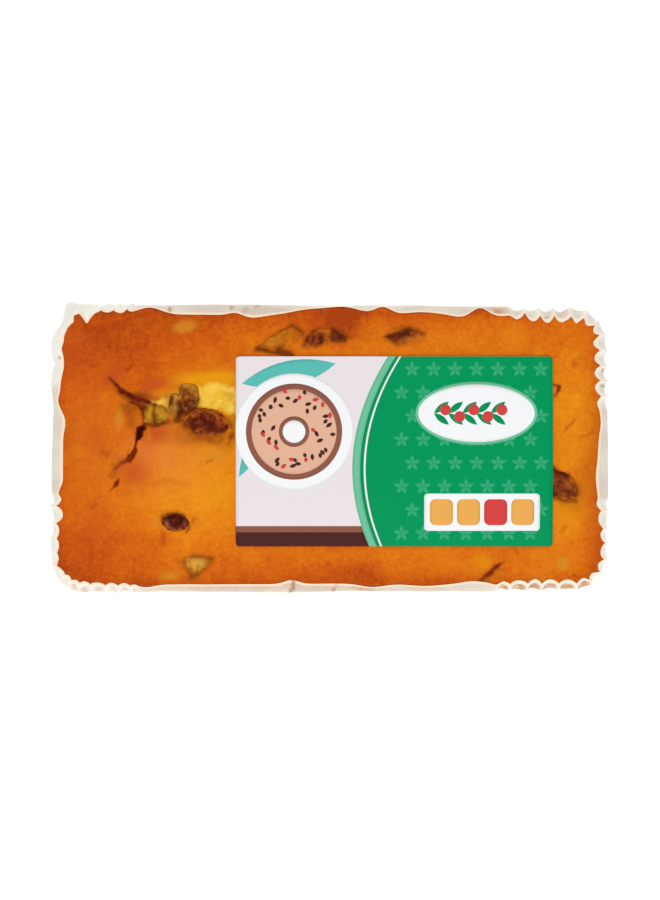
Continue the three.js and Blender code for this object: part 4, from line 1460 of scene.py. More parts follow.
@dataclass
class Cake:
    """The cake: crown, shoulder, side and floor in one closed mesh."""

    outline: Outline
    pleating: Pleating
    case: PaperCase
    gap: float = 0.3
    floor_height: float = 1.0
    crown_edge: float = 34.8
    crown_rise: float = 6.0
    end_reach: float = 45.0
    tucked: float = 1.5
    gather_drop: float = 2.3
    below_rim: float = 0.15
    rim_reach: float = 5.0
    shoulder_drop: float = 1.04
    plain_shoulder: float = 1.5
    gathered_shoulder: float = 0.75
    push_reach: float = 11.0
    calm_rim: float = 5.0
    calm_fade: float = 4.0
    calm_label: float = 0.7
    label_hold: float = 3.0
    long_relief: float = 0.40
    long_cell: float = 17.0
    fine_relief: float = 0.12
    fine_cell: float = 2.6
    crumb_relief: float = 0.22
    crumb_cell: float = 1.9
    crack_share: float = 0.8
    pocket_depth: float = 0.7
    pocket_edge: float = 0.6
    pocket_shade: float = 0.06
    mark_depth: float = 0.15
    scorch_depth: float = 0.1
    dark_depth: float = 1.9
    crumb_edge: float = 2.6
    plain_bake: float = 0.46
    bake_cloud: float = 0.07
    bake_cell: float = 13.0
    rim_bake: float = 0.14
    side_shares: tuple[float, ...] = (0.96, 0.9, 0.8, 0.55, 0.3, 0.08, 0.02)
    side_bake: float = 0.6
    noise: LatticeNoise = LatticeNoise(seed=5)

    across_steps = [(-51, 0.36), (-44, 0.45), (-38, 0.6), (-18, 0.7), (-14, 0.4),
                    (27, 0.4), (30, 0.6), (34, 0.5), (44, 0.42), (51, 0.36)]
    along_steps = [(-99, 0.36), (-90, 0.5), (-82, 0.45), (-79, 0.38), (-37, 0.38), (-32, 0.55),
                   (34, 0.55), (38, 1.0), (56, 1.0), (62, 0.55), (90, 0.5), (99, 0.36)]

    swellings = patches(
        (5.5, 44, 7, 7, 0.8), (51.5, -42, 7, 7, 0.8), (-60, 2, 7, 7, 1.0), (-72, 8, 6, 6, 0.8),
        (-60, 25, 8, 8, 0.9),
    )
    thin_cracks = (
        crack(1.5, 0.3, (-78.4, 25.4, 0.6, 0.4), (-75.8, 22.8, 1.7, 1.0), (-74.1, 20.9, 2.3, 1.2),
              (-71.8, 19.5, 2.8, 1.5), (-69.6, 18.3, 2.2, 1.4), (-68.0, 17.4, 2.0, 1.2),
              (-65.7, 17.0, 2.4, 1.3), (-64.0, 16.3, 2.0, 1.0), (-62.6, 15.4, 0.8, 0.4)),
        crack(1.3, 0.5, (-70.8, 16.7, 0.7, 0.5), (-69.6, 16.3, 1.4, 0.9), (-67.8, 15.6, 1.8, 0.9),
              (-66.4, 14.4, 2.0, 0.8), (-64.9, 13.8, 1.0, 0.4)),
        crack(1.7, 0.5, (-65.6, 9.0, 1.4, 0.6), (-66.3, 7.6, 3.0, 1.8), (-67.4, 5.1, 4.6, 2.6),
              (-68.0, 3.2, 1.9, 1.6), (-68.7, 0.8, 1.0, 0.7), (-68.8, -0.7, 2.2, 0.9),
              (-69.8, -2.6, 3.4, 1.1), (-71.8, -4.2, 2.2, 0.6), (-74.2, -5.4, 1.8, 0.22),
              (-76.2, -7.4, 1.4, 0.1)),
        crack(1.2, 0.5, (-74.8, -10.8, 0.9, 0.4), (-75.3, -12.1, 2.1, 0.8), (-76.5, -13.6, 1.2, 0.6),
              (-77.9, -14.8, 0.5, 0.2)),
        crack(1.2, 0.5, (53.8, -46.9, 1.6, 0.4), (56.6, -44.4, 2.2, 0.8), (59.0, -42.2, 2.4, 1.0),
              (60.6, -41.0, 1.6, 0.7), (62.4, -40.0, 0.8, 0.2)),
        crack(1.2, 0.5, (79.4, 22.8, 0.5, 0.4), (81.6, 21.9, 1.2, 0.7), (81.0, 20.2, 1.1, 0.6),
              (80.0, 18.6, 0.4, 0.3)),
    )
    wide_crack = crack(2.4, 0.5, (-64.0, 16.4, 1.5, 0.4), (-59.6, 15.6, 4.4, 0.8),
                       (-54.0, 16.4, 8.0, 1.6), (-47.0, 17.6, 10.5, 2.0), (-40.5, 18.0, 12.6, 2.2),
                       (-34.5, 17.2, 12.0, 2.0), (-25.0, 15.5, 6.0, 1.2), (-18.0, 14.5, 1.5, 0.5))
    bake_patches = patches(
        (-77, 40, 30, 17, 0.35), (-77, 47.5, 15, 3.5, -0.14), (-97, 6, 13, 30, 0.18),
        (-87, -40, 27, 16, 0.34), (-50, 49, 40, 10, 0.20), (5.5, 44.7, 8.5, 6.5, 0.35),
        (-12, 47, 22, 7, 0.18), (39, 50, 42, 5, 0.24), (35, 42, 8, 4, 0.1), (-64, 21, 8, 5, 0.12),
        (-44, -15, 22, 17, -0.29), (-69, 2, 6, 13, 0.07), (-10, -43, 38, 7, 0.1),
        (10, -47, 85, 4.5, 0.1), (-60, -40, 14, 8, -0.03), (87, 10, 12, 24, -0.24),
        (85, -27, 9, 8, -0.26), (10, -44.6, 8, 4.0, 0.28), (96, -34, 8, 14, 0.16),
        (97, 38, 8, 12, 0.16), (97, 12, 6, 30, 0.1), (76, 44, 7, 5, 0.12),
    )
    gold_patches = patches(
        (-46, 24.3, 10, 2.4, 1.0), (-38, 25.3, 8, 2.6, 0.8), (-58, 19.5, 6, 2.0, 0.6),
        (-33.5, 9.5, 2.6, 5.0, 0.9), (-42, -1, 9, 4.5, 0.45), (-38, -16, 10, 8, 0.3),
        (84, -22, 7, 4, 0.35), (55, -40.8, 3.5, 3, 0.5),
    )
    blush_patches = patches(
        (-60.5, 23.4, 4.6, 2.4, 0.9), (-64.4, 21.4, 3.4, 2.0, 0.6), (-61.2, 5.2, 5.0, 3.4, 1.0),
        (-69.4, -8.4, 5.8, 5.8, 0.85), (-76, 26.5, 3.8, 3.4, 0.9), (-84, -28, 12, 10, 0.35),
        (-84, 5, 10, 20, 0.45), (-90, 35, 6, 12, 0.5), (95, -18, 5, 22, 0.4), (-40, 7, 6, 14, 0.2),
    )
    haze_patches = patches((-58, -3, 13, 11, 0.4), (-66, -1, 5, 7, 0.2))
    pale_patches = patches(
        (-51.4, 43.3, 3.8, 2.0, 1.5, 12), (82.8, -40.8, 2.3, 2.1, 1.6), (-56.8, -45.4, 3.5, 1.6, 1.0),
        (76.6, -46.5, 2.0, 1.3, 0.8), (-61.6, -25.4, 1.6, 2.2, 0.9), (-51.0, -28.2, 0.8, 1.2, 0.7),
        (-74.6, 10.5, 1.8, 4.4, 0.8), (-40.5, -2.0, 4.0, 3.0, 0.7), (-63.6, 4.0, 1.0, 2.4, 0.6),
    )

    @property
    def margin(self) -> float:
        """How far inside the outline the cake stays: by the paper and a gap."""
        return self.case.paper + self.gap

    def crown_height(self, x: Array, y: Array) -> Array:
        """The smooth crown: level edge plus a rise that is a parabola across and at the ends."""
        ends = rise(self.outline.half_length - np.abs(x), self.end_reach)
        sides = rise(self.outline.half_width - np.abs(y), self.outline.half_width)
        return self.crown_edge + self.crown_rise * ends * sides

    def crust_height(self, x: Array, y: Array) -> Array:
        """The crown with its swellings."""
        return self.crown_height(x, y) + painted(self.swellings, x, y)

    def plan(self) -> Pair:
        """The crown's grid in plan: rows across the loaf, each as long as the outline there."""
        half_width = self.outline.half_width - self.margin
        radius = self.outline.corner - self.margin
        across, along = graded_stops(self.across_steps), graded_stops(self.along_steps)
        v = across[:, None] / across[-1]
        u = along[None, :] / along[-1]
        y = half_width * v
        past = np.maximum(np.abs(y) - self.outline.run_y, 0.0)
        half_row = self.outline.run_x + np.sqrt(np.maximum(radius**2 - past**2, 0.0))
        x = half_row * u
        return x, y * self.outline.widening(x)

    def pushed(self, s: Array) -> Array:
        """How far the paper holds the cake's edge back: by its tucks, and in the gathers so
        far that the edge stands just outside the rim over it, less so where the lip is steep."""
        tuck = np.maximum(self.pleating.waved(self.pleating.tucks, s), 0.0)
        strength = self.pleating.fold(s).strength
        outside = self.tucked * np.clip(self.pleating.lean(s) / 3.0, 0.4, 1.0)
        return blend(tuck, np.maximum(self.pleating.rim_inset(s) - outside, 0.0), strength)

    def edge_height(self, x: Array, y: Array, s: Array, inset: Array) -> Array:
        """The crust by the case: it meets the lip's rim, and falls away steeply under the lip.

        Args:
            x: the points' x.
            y: the points' y.
            s: their places on the outline.
            inset: how far inside the outline they are.

        Returns:
            The height of the crust, without its fine relief.
        """
        edge = self.pushed(s)
        rim = self.pleating.rim_inset(s)
        inside = inset - self.margin
        way = np.clip((inside - edge) / (rim - edge), 0.0, 1.0)
        under_rim = self.pleating.rim_height(s) - self.below_rim
        strength = self.pleating.fold(s).strength
        drop = blend(self.shoulder_drop * self.pleating.lip_height(s), self.gather_drop, strength)
        power = blend(self.plain_shoulder, self.gathered_shoulder, strength)
        under_lip = under_rim - drop * (1.0 - way) ** power
        inward = smooth_step((inside - rim) / self.rim_reach)
        crown = blend(under_rim, self.crust_height(x, y), inward)
        return np.where(way < 1.0, under_lip, crown)

    def crown(self, x: Array, y: Array) -> tuple[Array, dict[str, Array]]:
        """Lifts the grid onto the crust and works out what its finish reads.

        Args:
            x: the grid's x.
            y: the grid's y.

        Returns:
            The points and the values.
        """
        s, inset = self.outline.locate(x, y)
        push = self.pushed(s) * (1.0 - smooth_step((inset - self.margin) / self.push_reach))
        pushed_x, pushed_y = self.outline.point(s, push)
        line_x, line_y = self.outline.point(s, 0.0 * push)
        x, y = x + pushed_x - line_x, y + pushed_y - line_y
        height = self.edge_height(x, y, s, inset + push)
        away = smooth_step((inset + push - self.calm_rim) / self.calm_fade)
        away *= 1.0 - self.calm_label * self.pressed(x, y)
        long_waves = self.noise.over(x, y, self.long_cell, 3)
        fine_waves = self.noise.over(x, y, self.fine_cell, 3, (5.0, 0.0))
        height += (self.long_relief * long_waves + self.fine_relief * fine_waves) * away
        dark = np.zeros_like(x)
        for slit in self.thin_cracks:
            depth, inside = slit.cut(x, y, self.noise)
            height -= self.crack_share * depth
            # painted shade in the crack, darker the deeper it is
            shade = np.clip(depth / self.dark_depth, 0.0, 1.0) ** 0.6
            dark = np.maximum(dark, ease(inside, 0.0, 0.5) * shade)
        depth, inside = self.wide_crack.cut(x, y, self.noise)
        crumb = smooth_step(inside * self.crumb_edge)
        crumbs = self.noise.over(x, y, self.crumb_cell, 4, (0.0, 3.0))
        height += crumb * self.crumb_relief * crumbs - self.crack_share * depth
        # ring: painted shade round each fruit's pocket
        ring = np.zeros_like(x)
        for piece in FRUIT:
            within = piece.inside(x, y)
            height -= self.pocket_depth * ease(within, -0.4, 1.1)
            ring = np.maximum(ring, swell(within, self.pocket_edge))
        marks = marked(MARKS, x, y, self.noise)
        scorches = marked(SCORCHES, x, y, self.noise)
        height -= self.mark_depth * marks + self.scorch_depth * scorches
        points = np.stack([x, y, height], axis=-1)
        values = {
            "bake": self.bake(x, y, inset + push),
            "gold": np.clip(painted(self.gold_patches, x, y), 0.0, 1.0),
            "blush": np.clip(painted(self.blush_patches, x, y), 0.0, 1.0),
            "haze": painted(self.haze_patches, x, y),
            "pale": smooth_step(painted(self.pale_patches, x, y)),
            "crumb": crumb,
            "dark": dark,
            # mark: brown lines and patches, partly crust colour and partly painted shade in crevices,
            # round pockets and by the rim
            "mark": np.clip(marks + self.pocket_shade * ring + painted(SHADES, x, y), 0.0, 1.0),
            "scorch": scorches,
        }
        return points, values

    def pressed(self, x: Array, y: Array) -> Array:
        """Where the label lies: 1 under it, going to 0 a little outside it."""
        half_length, half_width = LABEL_LENGTH / 2 + LABEL_RIM, LABEL_WIDTH / 2 + LABEL_RIM
        inside = np.minimum(half_length - np.abs(x - LABEL_X), half_width - np.abs(y - LABEL_Y))
        return ease(inside, -self.label_hold, 0.0)

    def bake(self, x: Array, y: Array, inset: Array) -> Array:
        """How brown the crust is: most at the corners, along the upper edge and by the rim."""
        cloud = self.bake_cloud * self.noise.over(x, y, self.bake_cell, 4, (2.0, 8.0))
        rim = self.rim_bake * swell(inset - 3.0, 2.5)
        return self.plain_bake + painted(self.bake_patches, x, y) + cloud + rim

    def surface(self) -> Surface:
        """Builds the whole cake.

        The crown is a grid; its border, walked round, is the first of the rings that go down
        the side to the floor, which a fan closes.

        Returns:
            The closed surface with its values.
        """
        x, y = self.plan()
        rows, columns = x.shape
        top, values = self.crown(x, y)
        border = grid_border(rows, columns)
        points = top.reshape(-1, 3)
        edge = points[border]
        s, _ = self.outline.locate(x.ravel()[border], y.ravel()[border])
        rings = [self.side(s, edge[:, 2], share) for share in self.side_shares]
        foot = self.side(s, edge[:, 2], 0.0, tuck=1.0)
        side_points = np.concatenate([*rings, foot, [[0.0, 0.0, self.floor_height]]])
        start = len(points)
        count = len(border)
        quads = [grid_quads(rows, columns, wraps=False)]
        ring = border
        for step in range(len(self.side_shares) + 1):
            below = start + step * count + np.arange(count)
            quads.append(np.stack([below, np.roll(below, -1), np.roll(ring, -1), ring], axis=-1))
            ring = below
        bottom = fan(ring[::-1], start + len(side_points) - 1)
        beside = {key: self.side_bake if key == "bake" else 0.0 for key in values}
        merged = {
            key: np.append(value.ravel(), np.full(len(side_points), beside[key]))
            for key, value in values.items()
        }
        return Surface(np.concatenate([points, side_points]), np.concatenate(quads), bottom, merged)

    def side(self, s: Array, edge_height: Array, share: float, tuck: float = 0.0) -> Array:
        """A ring of the side, share of the way up from the floor to the shoulder's edge."""
        height = blend(self.floor_height, edge_height, share)
        up = np.clip(height / self.pleating.belly_height, 0.0, 1.0)
        held_back = self.pushed(s) * (height / edge_height) ** 2
        folds = self.pleating.fold(s).belly + self.pleating.waved(self.pleating.tucks, s)
        held_back = np.maximum(held_back, np.maximum(folds, 0.0) * up**0.8)
        inset = self.case.base_inset * (1.0 - up) + self.margin + held_back + tuck
        x, y = self.outline.point(s, inset)
        return np.stack([x, y, height], axis=-1)

    def finish(self) -> bpy.types.Material:
        """Baked crust: amber to red-brown by how it baked, yellow crumb where it burst, brown marks
        that are partly painted shade, cracks darkened by painted shade.
        """
        paint = Finish("baked_crust", roughness=0.62, specular=0.06)
        cloud = paint.remap(paint.noise(150.0, 5.0, 0.6), (0.2, 0.8), (-0.15, 0.15))
        mottle = paint.remap(paint.noise(620.0, 3.0, 0.6), (0.25, 0.75), (-0.13, 0.13))
        speck = paint.remap(paint.noise(1600.0, 2.0, 0.7), (0.25, 0.75), (-0.1, 0.1))
        baked = paint.maths("ADD", paint.maths("ADD", paint.attribute("bake"), cloud),
                            paint.maths("ADD", mottle, speck))
        crust = paint.ramp(baked, [
            (0.0, srgb(236, 150, 24)),
            (0.25, srgb(227, 131, 17)),
            (0.5, srgb(216, 110, 11)),
            (0.75, srgb(199, 86, 9)),
            (1.0, srgb(168, 62, 8)),
        ])
        crust = paint.mix(paint.part("gold", 0.85), crust, srgb(230, 156, 8))
        crust = paint.mix(paint.attribute("haze"), crust, srgb(226, 124, 58))
        crust = paint.mix(paint.part("blush", 0.88), crust, srgb(193, 77, 26))
        crust = paint.mix(paint.part("pale", 0.8), crust, srgb(212, 136, 34))
        spots = paint.remap(paint.cells(62.0), (0.04, 0.1), (1.0, 0.0))
        some = paint.remap(paint.noise(45.0, 1.0), (0.45, 0.6), (0.0, 0.5))
        crust = paint.mix(paint.maths("MULTIPLY", spots, some), crust, srgb(172, 62, 6))
        crust = paint.mix(paint.attribute("scorch"), crust, srgb(160, 50, 6))
        crumb = paint.mix(paint.remap(paint.noise(300.0, 4.0), (0.35, 0.7)),
                          srgb(228, 174, 30), srgb(250, 208, 90))
        colour = paint.mix(paint.attribute("crumb"), crust, crumb)
        # brown marks: partly crust colour, partly painted shade
        colour = paint.mix(paint.part("mark", 0.9), colour, srgb(112, 44, 6))
        # the cracks: their brown and, where deep, near-black painted shade
        brown = paint.remap(paint.attribute("dark"), (0.0, 0.5))
        colour = paint.mix(brown, colour, srgb(124, 40, 4))
        maroon = paint.remap(paint.attribute("dark"), (0.55, 1.0))
        colour = paint.mix(maroon, colour, srgb(56, 4, 2))
        pores = paint.bump(paint.remap(paint.cells(900.0), (0.0, 0.5)), 0.0003, 0.25)
        grain = paint.bump(paint.noise(700.0, 6.0, 0.65), 0.0008, 0.4, pores)
        return paint.finish(colour, grain)

    def build(self) -> bpy.types.Object:
        """Makes the cake in place of its plain solid."""
        made = self.surface().to_object("cake_body", self.finish())
        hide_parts("cake")
        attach(made, BODY)
        return made


# -------------------------------- the label


class Ink(Enum):
    """The label's flat colours."""

    PAPER = ("ink_pale", srgb(229, 221, 224))
    GREEN = ("ink_green", srgb(0, 147, 88))
    LEAF = ("ink_leaf", srgb(52, 172, 120))
    MIST = ("ink_mist", srgb(110, 192, 155))
    WHITE = ("ink_white", srgb(240, 241, 243))
    TEAL = ("ink_teal", srgb(90, 186, 178))
    CREAM = ("ink_cream", srgb(222, 176, 148))
    CRUST = ("ink_crust", srgb(142, 88, 72))
    BROWN = ("ink_brown", srgb(78, 38, 38))
    AMBER = ("ink_amber", srgb(232, 169, 84))
    RED = ("ink_red", srgb(212, 66, 66))

    def finish(self) -> bpy.types.Material:
        """Flat ink on coated paper, with the paper's faint tooth."""
        name, colour = self.value
        known = bpy.data.materials.get(name)
        if known:
            return known
        paint = Finish(name, roughness=0.5, specular=0.04)
        tone = paint.remap(paint.noise(900.0, 2.0), (0.3, 0.7), (0.0, 0.06))
        shade = tuple(0.86 * channel for channel in colour)
        tooth = paint.bump(paint.noise(2200.0, 2.0), 0.00004, 0.3)
        return paint.finish(paint.mix(tone, colour, shade), tooth)


@dataclass
class Label:
    """The printed label: a thin sheet bent over the crown, with its inks laid on it."""

    cake: Cake
    x: float = LABEL_X
    y: float = LABEL_Y
    length: float = LABEL_LENGTH
    width: float = LABEL_WIDTH
    thickness: float = 0.2
    corner: float = 1.2
    lift: float = 0.6
    ink_step: float = 0.03
    grain: float = 1.6

    def lay(self, u: Array, v: Array, height: float) -> Array:
        """Lays places of the flat label over the crown, a height above the label's underside."""
        x, y = self.x + u, self.y + v
        return np.stack([x, y, self.cake.crown_height(x, y) + self.lift + height], axis=-1)

    def wafer(self, first: Array, second: Array, across: int, low: float, high: float) -> Surface:
        """A thin closed sheet between two edges.

        Its point (i, j) goes straight from the first edge's point i to the second edge's, by
        j's share; the underside repeats the upper side, and quads round the border join them.

        Args:
            first: the first edge's places on the label, one row a point.
            second: the second edge's places, as many.
            across: how many steps lie between the edges.
            low: the underside's height.
            high: the upper side's height.

        Returns:
            The closed surface.
        """
        share = np.linspace(0.0, 1.0, across + 1)[:, None, None]
        flat = blend(first[None], second[None], share)
        u, v = flat[..., 0], flat[..., 1]
        rows, columns = u.shape
        points = np.concatenate([self.lay(u, v, high).reshape(-1, 3),
                                 self.lay(u, v, low).reshape(-1, 3)])
        top = grid_quads(rows, columns, wraps=False)
        count = rows * columns
        border = grid_border(rows, columns)
        after = np.roll(border, -1)
        rim = np.stack([border + count, after + count, after, border], axis=-1)
        return Surface(points, np.concatenate([top, top[:, ::-1] + count, rim]))

    def ink(self, name: str, ink: Ink, shapes: list[Pair], layer: int) -> None:
        """Lays shapes of one ink on the label as one piece.

        Args:
            name: the piece's name.
            ink: its colour.
            shapes: pairs of edges, each pair the two sides of a shape.
            layer: how many inks lie under it.
        """
        low = self.thickness - 0.5 * self.ink_step
        high = self.thickness + self.ink_step * layer
        total: Surface | None = None
        for first, second in shapes:
            span = np.abs(second - first).max()
            across = max(int(np.ceil(span / self.grain)), 1)
            wafer = self.wafer(first, second, across, low, high)
            total = wafer if total is None else total.joined(wafer)
        self.settle(total.to_object(name, ink.finish()))

    def settle(self, made: bpy.types.Object) -> None:
        """Lets a piece ride with the loaf as part of the label."""
        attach(made, BODY)

    def build(self) -> None:
        """Makes the sheet in place of its plain solid, then lays the inks on it."""
        half_u, half_v = self.length / 2, self.width / 2
        left, right = rounded_sides(0.0, 0.0, half_u, half_v, self.corner)
        sheet = self.wafer(left, right, 72, 0.0, self.thickness)
        made = sheet.to_object("label_sheet", Ink.PAPER.finish())
        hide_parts("label")
        self.settle(made)
        Print(self).build()


def side_stops(half: float, corner: float) -> Array:
    """Places from the foot to the top of a side with round corners, close in the corners."""
    straight_step = 1.6
    angle = np.linspace(0.0, np.pi / 2, 7)
    rounds = half - corner + corner * np.sin(angle)
    count = max(int(2.0 * half / straight_step), 3)
    middle = np.linspace(-(half - corner), half - corner, count)
    return np.concatenate([-rounds[::-1], middle[1:-1], rounds])


def corner_cut(v: Array, half: float, corner: float) -> Array:
    """How far round corners take in the ends of a rectangle, at v from its middle."""
    past = np.maximum(np.abs(v) - (half - corner), 0.0)
    return corner - np.sqrt(np.maximum(corner**2 - past**2, 0.0))


def rounded_sides(u: float, v: float, half_u: float, half_v: float, corner: float) -> Pair:
    """The left and right edges of a rectangle with round corners, from its foot to its top.

    Args:
        u: its middle along the label.
        v: its middle across the label.
        half_u: half its length.
        half_v: half its width.
        corner: its corners' radius.

    Returns:
        Two arrays of places, one a side, with equal v.
    """
    height = side_stops(half_v, corner)
    reach = half_u - corner_cut(height, half_v, corner)
    return (np.stack([u - reach, v + height], axis=-1),
            np.stack([u + reach, v + height], axis=-1))


def leaf_sides(u: float, v: float, length: float, width: float, turn: float) -> Pair:
    """The two sides of a leaf: arcs of a parabola to either side of its midrib."""
    way = np.linspace(0.0, 1.0, 13)
    bow = 2.0 * width * way * (1.0 - way)
    angle = np.radians(turn)
    along = way * length
    sides = []
    for sign in (-1.0, 1.0):
        side_u = u + along * np.cos(angle) - sign * bow * np.sin(angle)
        side_v = v + along * np.sin(angle) + sign * bow * np.cos(angle)
        sides.append(np.stack([side_u, side_v], axis=-1))
    return sides[0], sides[1]


def disc_sides(u: float, v: float, half_u: float, half_v: float, steps: int) -> Pair:
    """The lower and upper halves of an oval or, where both its halves are equal, a circle."""
    angle = np.linspace(np.pi, 2 * np.pi, steps)
    lower = np.stack([u + half_u * np.cos(angle), v + half_v * np.sin(angle)], axis=-1)
    upper = np.stack([u + half_u * np.cos(angle), v - half_v * np.sin(angle)], axis=-1)
    return lower, upper


@dataclass
class Print:
    """The label's generic design: a green field, leaves, and a ring cake seen from above."""

    label: Label
    field_start: float = -3.0
    field_bow: float = 9.0
    field_slant: float = 0.1
    leaf: tuple[float, float] = (2.9, 1.5)
    leaf_steps: tuple[float, float] = (7.6, 8.3)
    leaf_start: tuple[float, float] = (2.5, -29.0)
    ring_u: float = -35.5
    ring_v: float = 7.0
    ring_outer: float = 17.0
    ring_inner: float = 5.4
    plate: float = 20.6
    plaque_u: float = 29.0
    plaque_v: float = 13.5
    plaque_length: float = 41.2
    plaque_width: float = 20.4
    twig_start: float = 14.0
    twig_step: float = 5.0
    panel_u: float = 31.0
    panel_v: float = -21.5

    def field_edge(self, offset: float) -> Array:
        """The green field's left edge, a shallow bow, moved by offset."""
        v = side_stops(self.label.width / 2, self.label.corner)
        bow = self.field_bow * (1.0 - (2.0 * v / self.label.width) ** 2)
        return np.stack([self.field_start - bow + offset + self.field_slant * v, v], axis=-1)

    def end_cut(self, v: Array) -> Array:
        """How far the label's round corners take in its ends at v."""
        return corner_cut(v, self.label.width / 2, self.label.corner)

    def field(self) -> None:
        """The green field to the right, with two paler bands along its edge."""
        edge = self.field_edge(0.0)
        v = edge[:, 1]
        right = np.stack([self.label.length / 2 - self.end_cut(v), v], axis=-1)
        self.label.ink("label_field", Ink.GREEN, [(edge, right)], 1)
        self.label.ink("label_band", Ink.MIST, [(self.field_edge(-2.6), self.field_edge(0.2))], 2)
        self.label.ink("label_line", Ink.WHITE, [(self.field_edge(1.4), self.field_edge(2.1))], 2)

    def sprigs(self) -> None:
        """Staggered rosettes of five small leaves over the field."""
        leaves: list[Pair] = []
        step_u, step_v = self.leaf_steps
        last_u = self.label.length / 2 - 3.5
        for row, column in np.ndindex(8, 8):
            u = self.leaf_start[0] + (column + 0.5 * (row % 2)) * step_u
            v = self.leaf_start[1] + row * step_v
            if u > last_u:
                continue
            for turn in np.arange(5) * 72.0 + 18.0:
                leaves.append(leaf_sides(u, v, *self.leaf, turn))
        self.label.ink("label_leaves", Ink.LEAF, leaves, 2)

    def plaque(self) -> None:
        """A pale oval on the field with a twig of fruit in it."""
        u, v, rim = self.plaque_u, self.plaque_v, 1.0
        half_u, half_v = self.plaque_length / 2, self.plaque_width / 2
        border = [disc_sides(u, v, half_u + rim, half_v + rim, 41)]
        self.label.ink("label_plaque_rim", Ink.MIST, border, 3)
        self.label.ink("label_plaque", Ink.WHITE, [disc_sides(u, v, half_u, half_v, 41)], 4)
        starts = self.twig_start + self.twig_step * np.arange(5)
        twig = [leaf_sides(start, v, 6.6, 2.2, turn) for start in starts for turn in (38.0, -38.0)]
        self.label.ink("label_twig", Ink.GREEN, twig, 5)
        fruit = [disc_sides(start + 4.0, v + 1.2 * (-1) ** step, 1.9, 1.9, 25)
                 for step, start in enumerate(starts)]
        self.label.ink("label_twig_fruit", Ink.RED, fruit, 6)

    def ring_cake(self) -> None:
        """A ring cake on a plate, seen from above, strewn with fruit."""
        u, v = self.ring_u, self.ring_v
        folds = [leaf_sides(-54.0, 24.0, 34.0, 9.0, 12.0), leaf_sides(-55.0, -9.0, 22.0, 5.0, 62.0)]
        self.label.ink("label_cloth", Ink.TEAL, folds, 1)
        discs = (
            ("label_plate", Ink.WHITE, self.plate, 49),
            ("label_ring_edge", Ink.CRUST, self.ring_outer, 49),
            ("label_ring_top", Ink.CREAM, self.ring_outer - 2.0, 49),
            ("label_ring_inner", Ink.CRUST, self.ring_inner, 33),
            ("label_ring_hole", Ink.WHITE, self.ring_inner - 1.4, 33),
        )
        for layer, (name, ink, radius, steps) in enumerate(discs, start=2):
            self.label.ink(name, ink, [disc_sides(u, v, radius, radius, steps)], layer)
        draw = np.random.default_rng(3)
        spots: dict[Ink, list[Pair]] = {Ink.BROWN: [], Ink.RED: []}
        innermost, outermost = self.ring_inner + 1.2, self.ring_outer - 3.0
        for number in range(46):
            angle = number * 2.4
            radius = np.sqrt(draw.uniform(innermost**2, outermost**2))
            ink = Ink.RED if number % 4 == 0 else Ink.BROWN
            length, turn = draw.uniform(1.6, 2.8), draw.uniform(0.0, 180.0)
            spots[ink].append(leaf_sides(u + radius * np.cos(angle), v + radius * np.sin(angle),
                                         length, 1.3, turn))
        self.label.ink("label_ring_raisins", Ink.BROWN, spots[Ink.BROWN], 5)
        self.label.ink("label_ring_cherries", Ink.RED, spots[Ink.RED], 6)

    def table(self) -> None:
        """A dark band along the foot of the pale side, with a crust-coloured one above it."""
        foot = -self.label.width / 2
        for name, ink, low, high in (
            ("label_shelf", Ink.BROWN, foot, foot + 5.0),
            ("label_shelf_edge", Ink.CRUST, foot + 5.0, foot + 7.2),
        ):
            v = blend(low, high, np.linspace(0.0, 1.0, 17) ** 2)
            left = self.end_cut(v) - self.label.length / 2
            edge = self.field_edge(-2.4)
            right = np.interp(v, edge[:, 1], edge[:, 0])
            pair = (np.stack([left, v], axis=-1), np.stack([right, v], axis=-1))
            self.label.ink(name, ink, [pair], 1)

    def panel(self) -> None:
        """A white panel at the field's lower corner with a row of plain rounded tabs."""
        u, v = self.panel_u, self.panel_v
        self.label.ink("label_panel", Ink.WHITE, [rounded_sides(u, v, 20.5, 6.6, 1.2)], 3)
        first, second, red, fourth = (
            rounded_sides(u + offset, v, 4.1, 4.6, 2.0) for offset in (-14.4, -4.8, 4.8, 14.4)
        )
        self.label.ink("label_tabs_amber", Ink.AMBER, [first, second, fourth], 4)
        self.label.ink("label_tab_red", Ink.RED, [red], 4)

    def build(self) -> None:
        """Lays every ink of the design."""
        self.field()
        self.sprigs()
        self.plaque()
        self.ring_cake()
        self.table()
        self.panel()


# -------------------------------- floor, light and camera


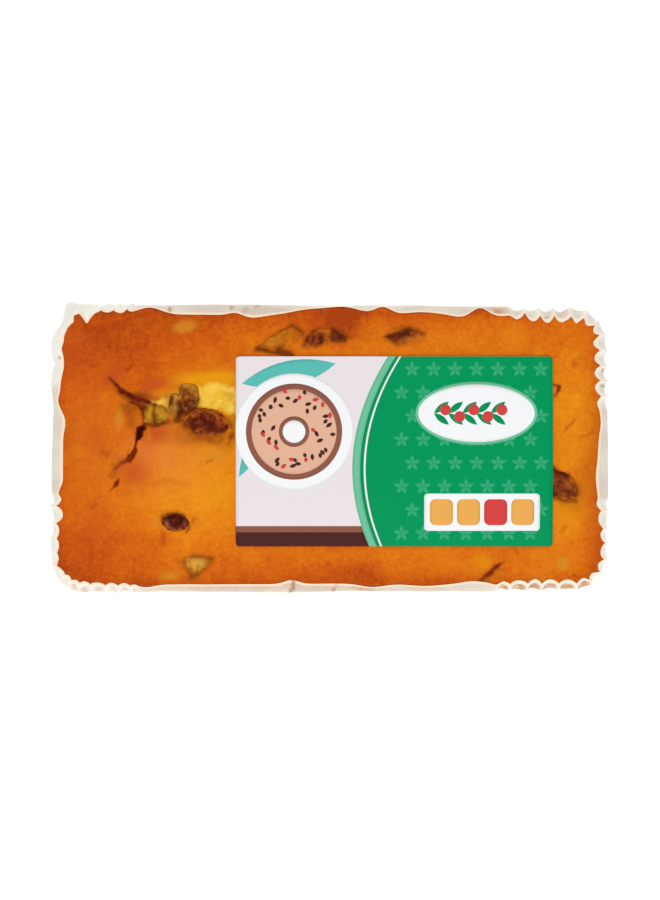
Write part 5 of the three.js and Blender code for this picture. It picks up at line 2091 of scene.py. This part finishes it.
@dataclass
class Studio:
    """A pale floor, soft light from all round and a camera straight above the loaf."""

    lens: float = 110.0
    sensor: float = 36.0
    view_width: float = 235.0
    frame_width: int = 660
    frame_height: int = 900
    look_x: float = 0.2
    look_y: float = -0.5
    look_height: float = 34.0
    floor_glow: float = 0.5
    room_glow: float = 0.55

    def camera(self) -> None:
        """Looks straight down from where the frame takes in the view's width."""
        data = bpy.data.cameras.new("camera")
        data.lens = self.lens
        data.sensor_width = self.sensor
        view_height = self.view_width * self.frame_height / self.frame_width
        distance = view_height * self.lens / self.sensor
        data.clip_end = 10.0
        camera = bpy.data.objects.new("camera", data)
        camera.location = (self.look_x * MM, self.look_y * MM, (self.look_height + distance) * MM)
        bpy.context.scene.collection.objects.link(camera)
        bpy.context.scene.camera = camera

    def floor(self) -> None:
        """A wide pale floor under the case."""
        half = 3.0
        mesh = bpy.data.meshes.new("floor")
        corners = [(-half, -half, 0), (half, -half, 0), (half, half, 0), (-half, half, 0)]
        mesh.from_pydata(corners, [], [(0, 1, 2, 3)])
        paint = Finish("floor_white", roughness=0.9, specular=0.1)
        paint.surface.inputs["Emission Color"].default_value = (1.0, 1.0, 1.0, 1.0)
        paint.surface.inputs["Emission Strength"].default_value = self.floor_glow
        mesh.materials.append(paint.finish(srgb(244, 244, 244)))
        floor = bpy.data.objects.new("floor", mesh)
        floor.location.z = -0.0002
        bpy.context.scene.collection.objects.link(floor)
        floor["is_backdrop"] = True

    def lamp(self, name: str, place: tuple[float, float, float], size: float, power: float) -> None:
        """A square soft light that faces the loaf."""
        data = bpy.data.lights.new(name, "AREA")
        data.size = size
        data.energy = power
        lamp = bpy.data.objects.new(name, data)
        lamp.location = place
        direction = -lamp.location.normalized()
        lamp.rotation_mode = "QUATERNION"
        lamp.rotation_quaternion = direction.to_track_quat("-Z", "Y")
        bpy.context.scene.collection.objects.link(lamp)

    def build(self) -> None:
        """Sets up everything that isn't the loaf."""
        scene = bpy.context.scene
        scene.view_settings.view_transform = "Standard"
        world = bpy.data.worlds.new("soft_room")
        world.use_nodes = True
        background = world.node_tree.nodes["Background"]
        background.inputs["Color"].default_value = (1.0, 1.0, 1.0, 1.0)
        background.inputs["Strength"].default_value = self.room_glow
        scene.world = world
        self.lamp("key", (0.1, -0.8, 1.1), 0.7, 7.5)
        self.lamp("fill", (-0.2, 0.7, 1.0), 1.0, 4.5)
        self.floor()
        self.camera()


# -------------------------------- the whole loaf


def corners(bounds: tuple) -> list[list[float]]:
    """A box's lowest and highest corners as plain lists."""
    return [[float(value) for value in corner] for corner in bounds]


def main() -> None:
    """Builds the loaf round the frame, piece by piece, and measures both sizes."""
    logging.basicConfig(level=logging.INFO, format="%(message)s")
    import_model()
    cad_box = corners(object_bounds())
    Studio().build()
    outline = Outline()
    pleating = Pleating(outline)
    case = PaperCase(outline, pleating)
    cake = Cake(outline, pleating, case)
    for made in (case.build(), cake.build()):
        LOG.info("%s: %d faces", made.name, len(made.data.polygons))
    for number, piece in enumerate(FRUIT):
        ground = float(cake.crust_height(np.array([piece.x]), np.array([piece.y]))[0])
        made = piece.build(ground, 40 + number)
        LOG.info("%s: %d faces", made.name, len(made.data.polygons))
    Label(cake).build()
    LOG.info("label laid")
    sizes = {"cad": cad_box, "visual": corners(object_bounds())}


if __name__ == "__main__":
    main()
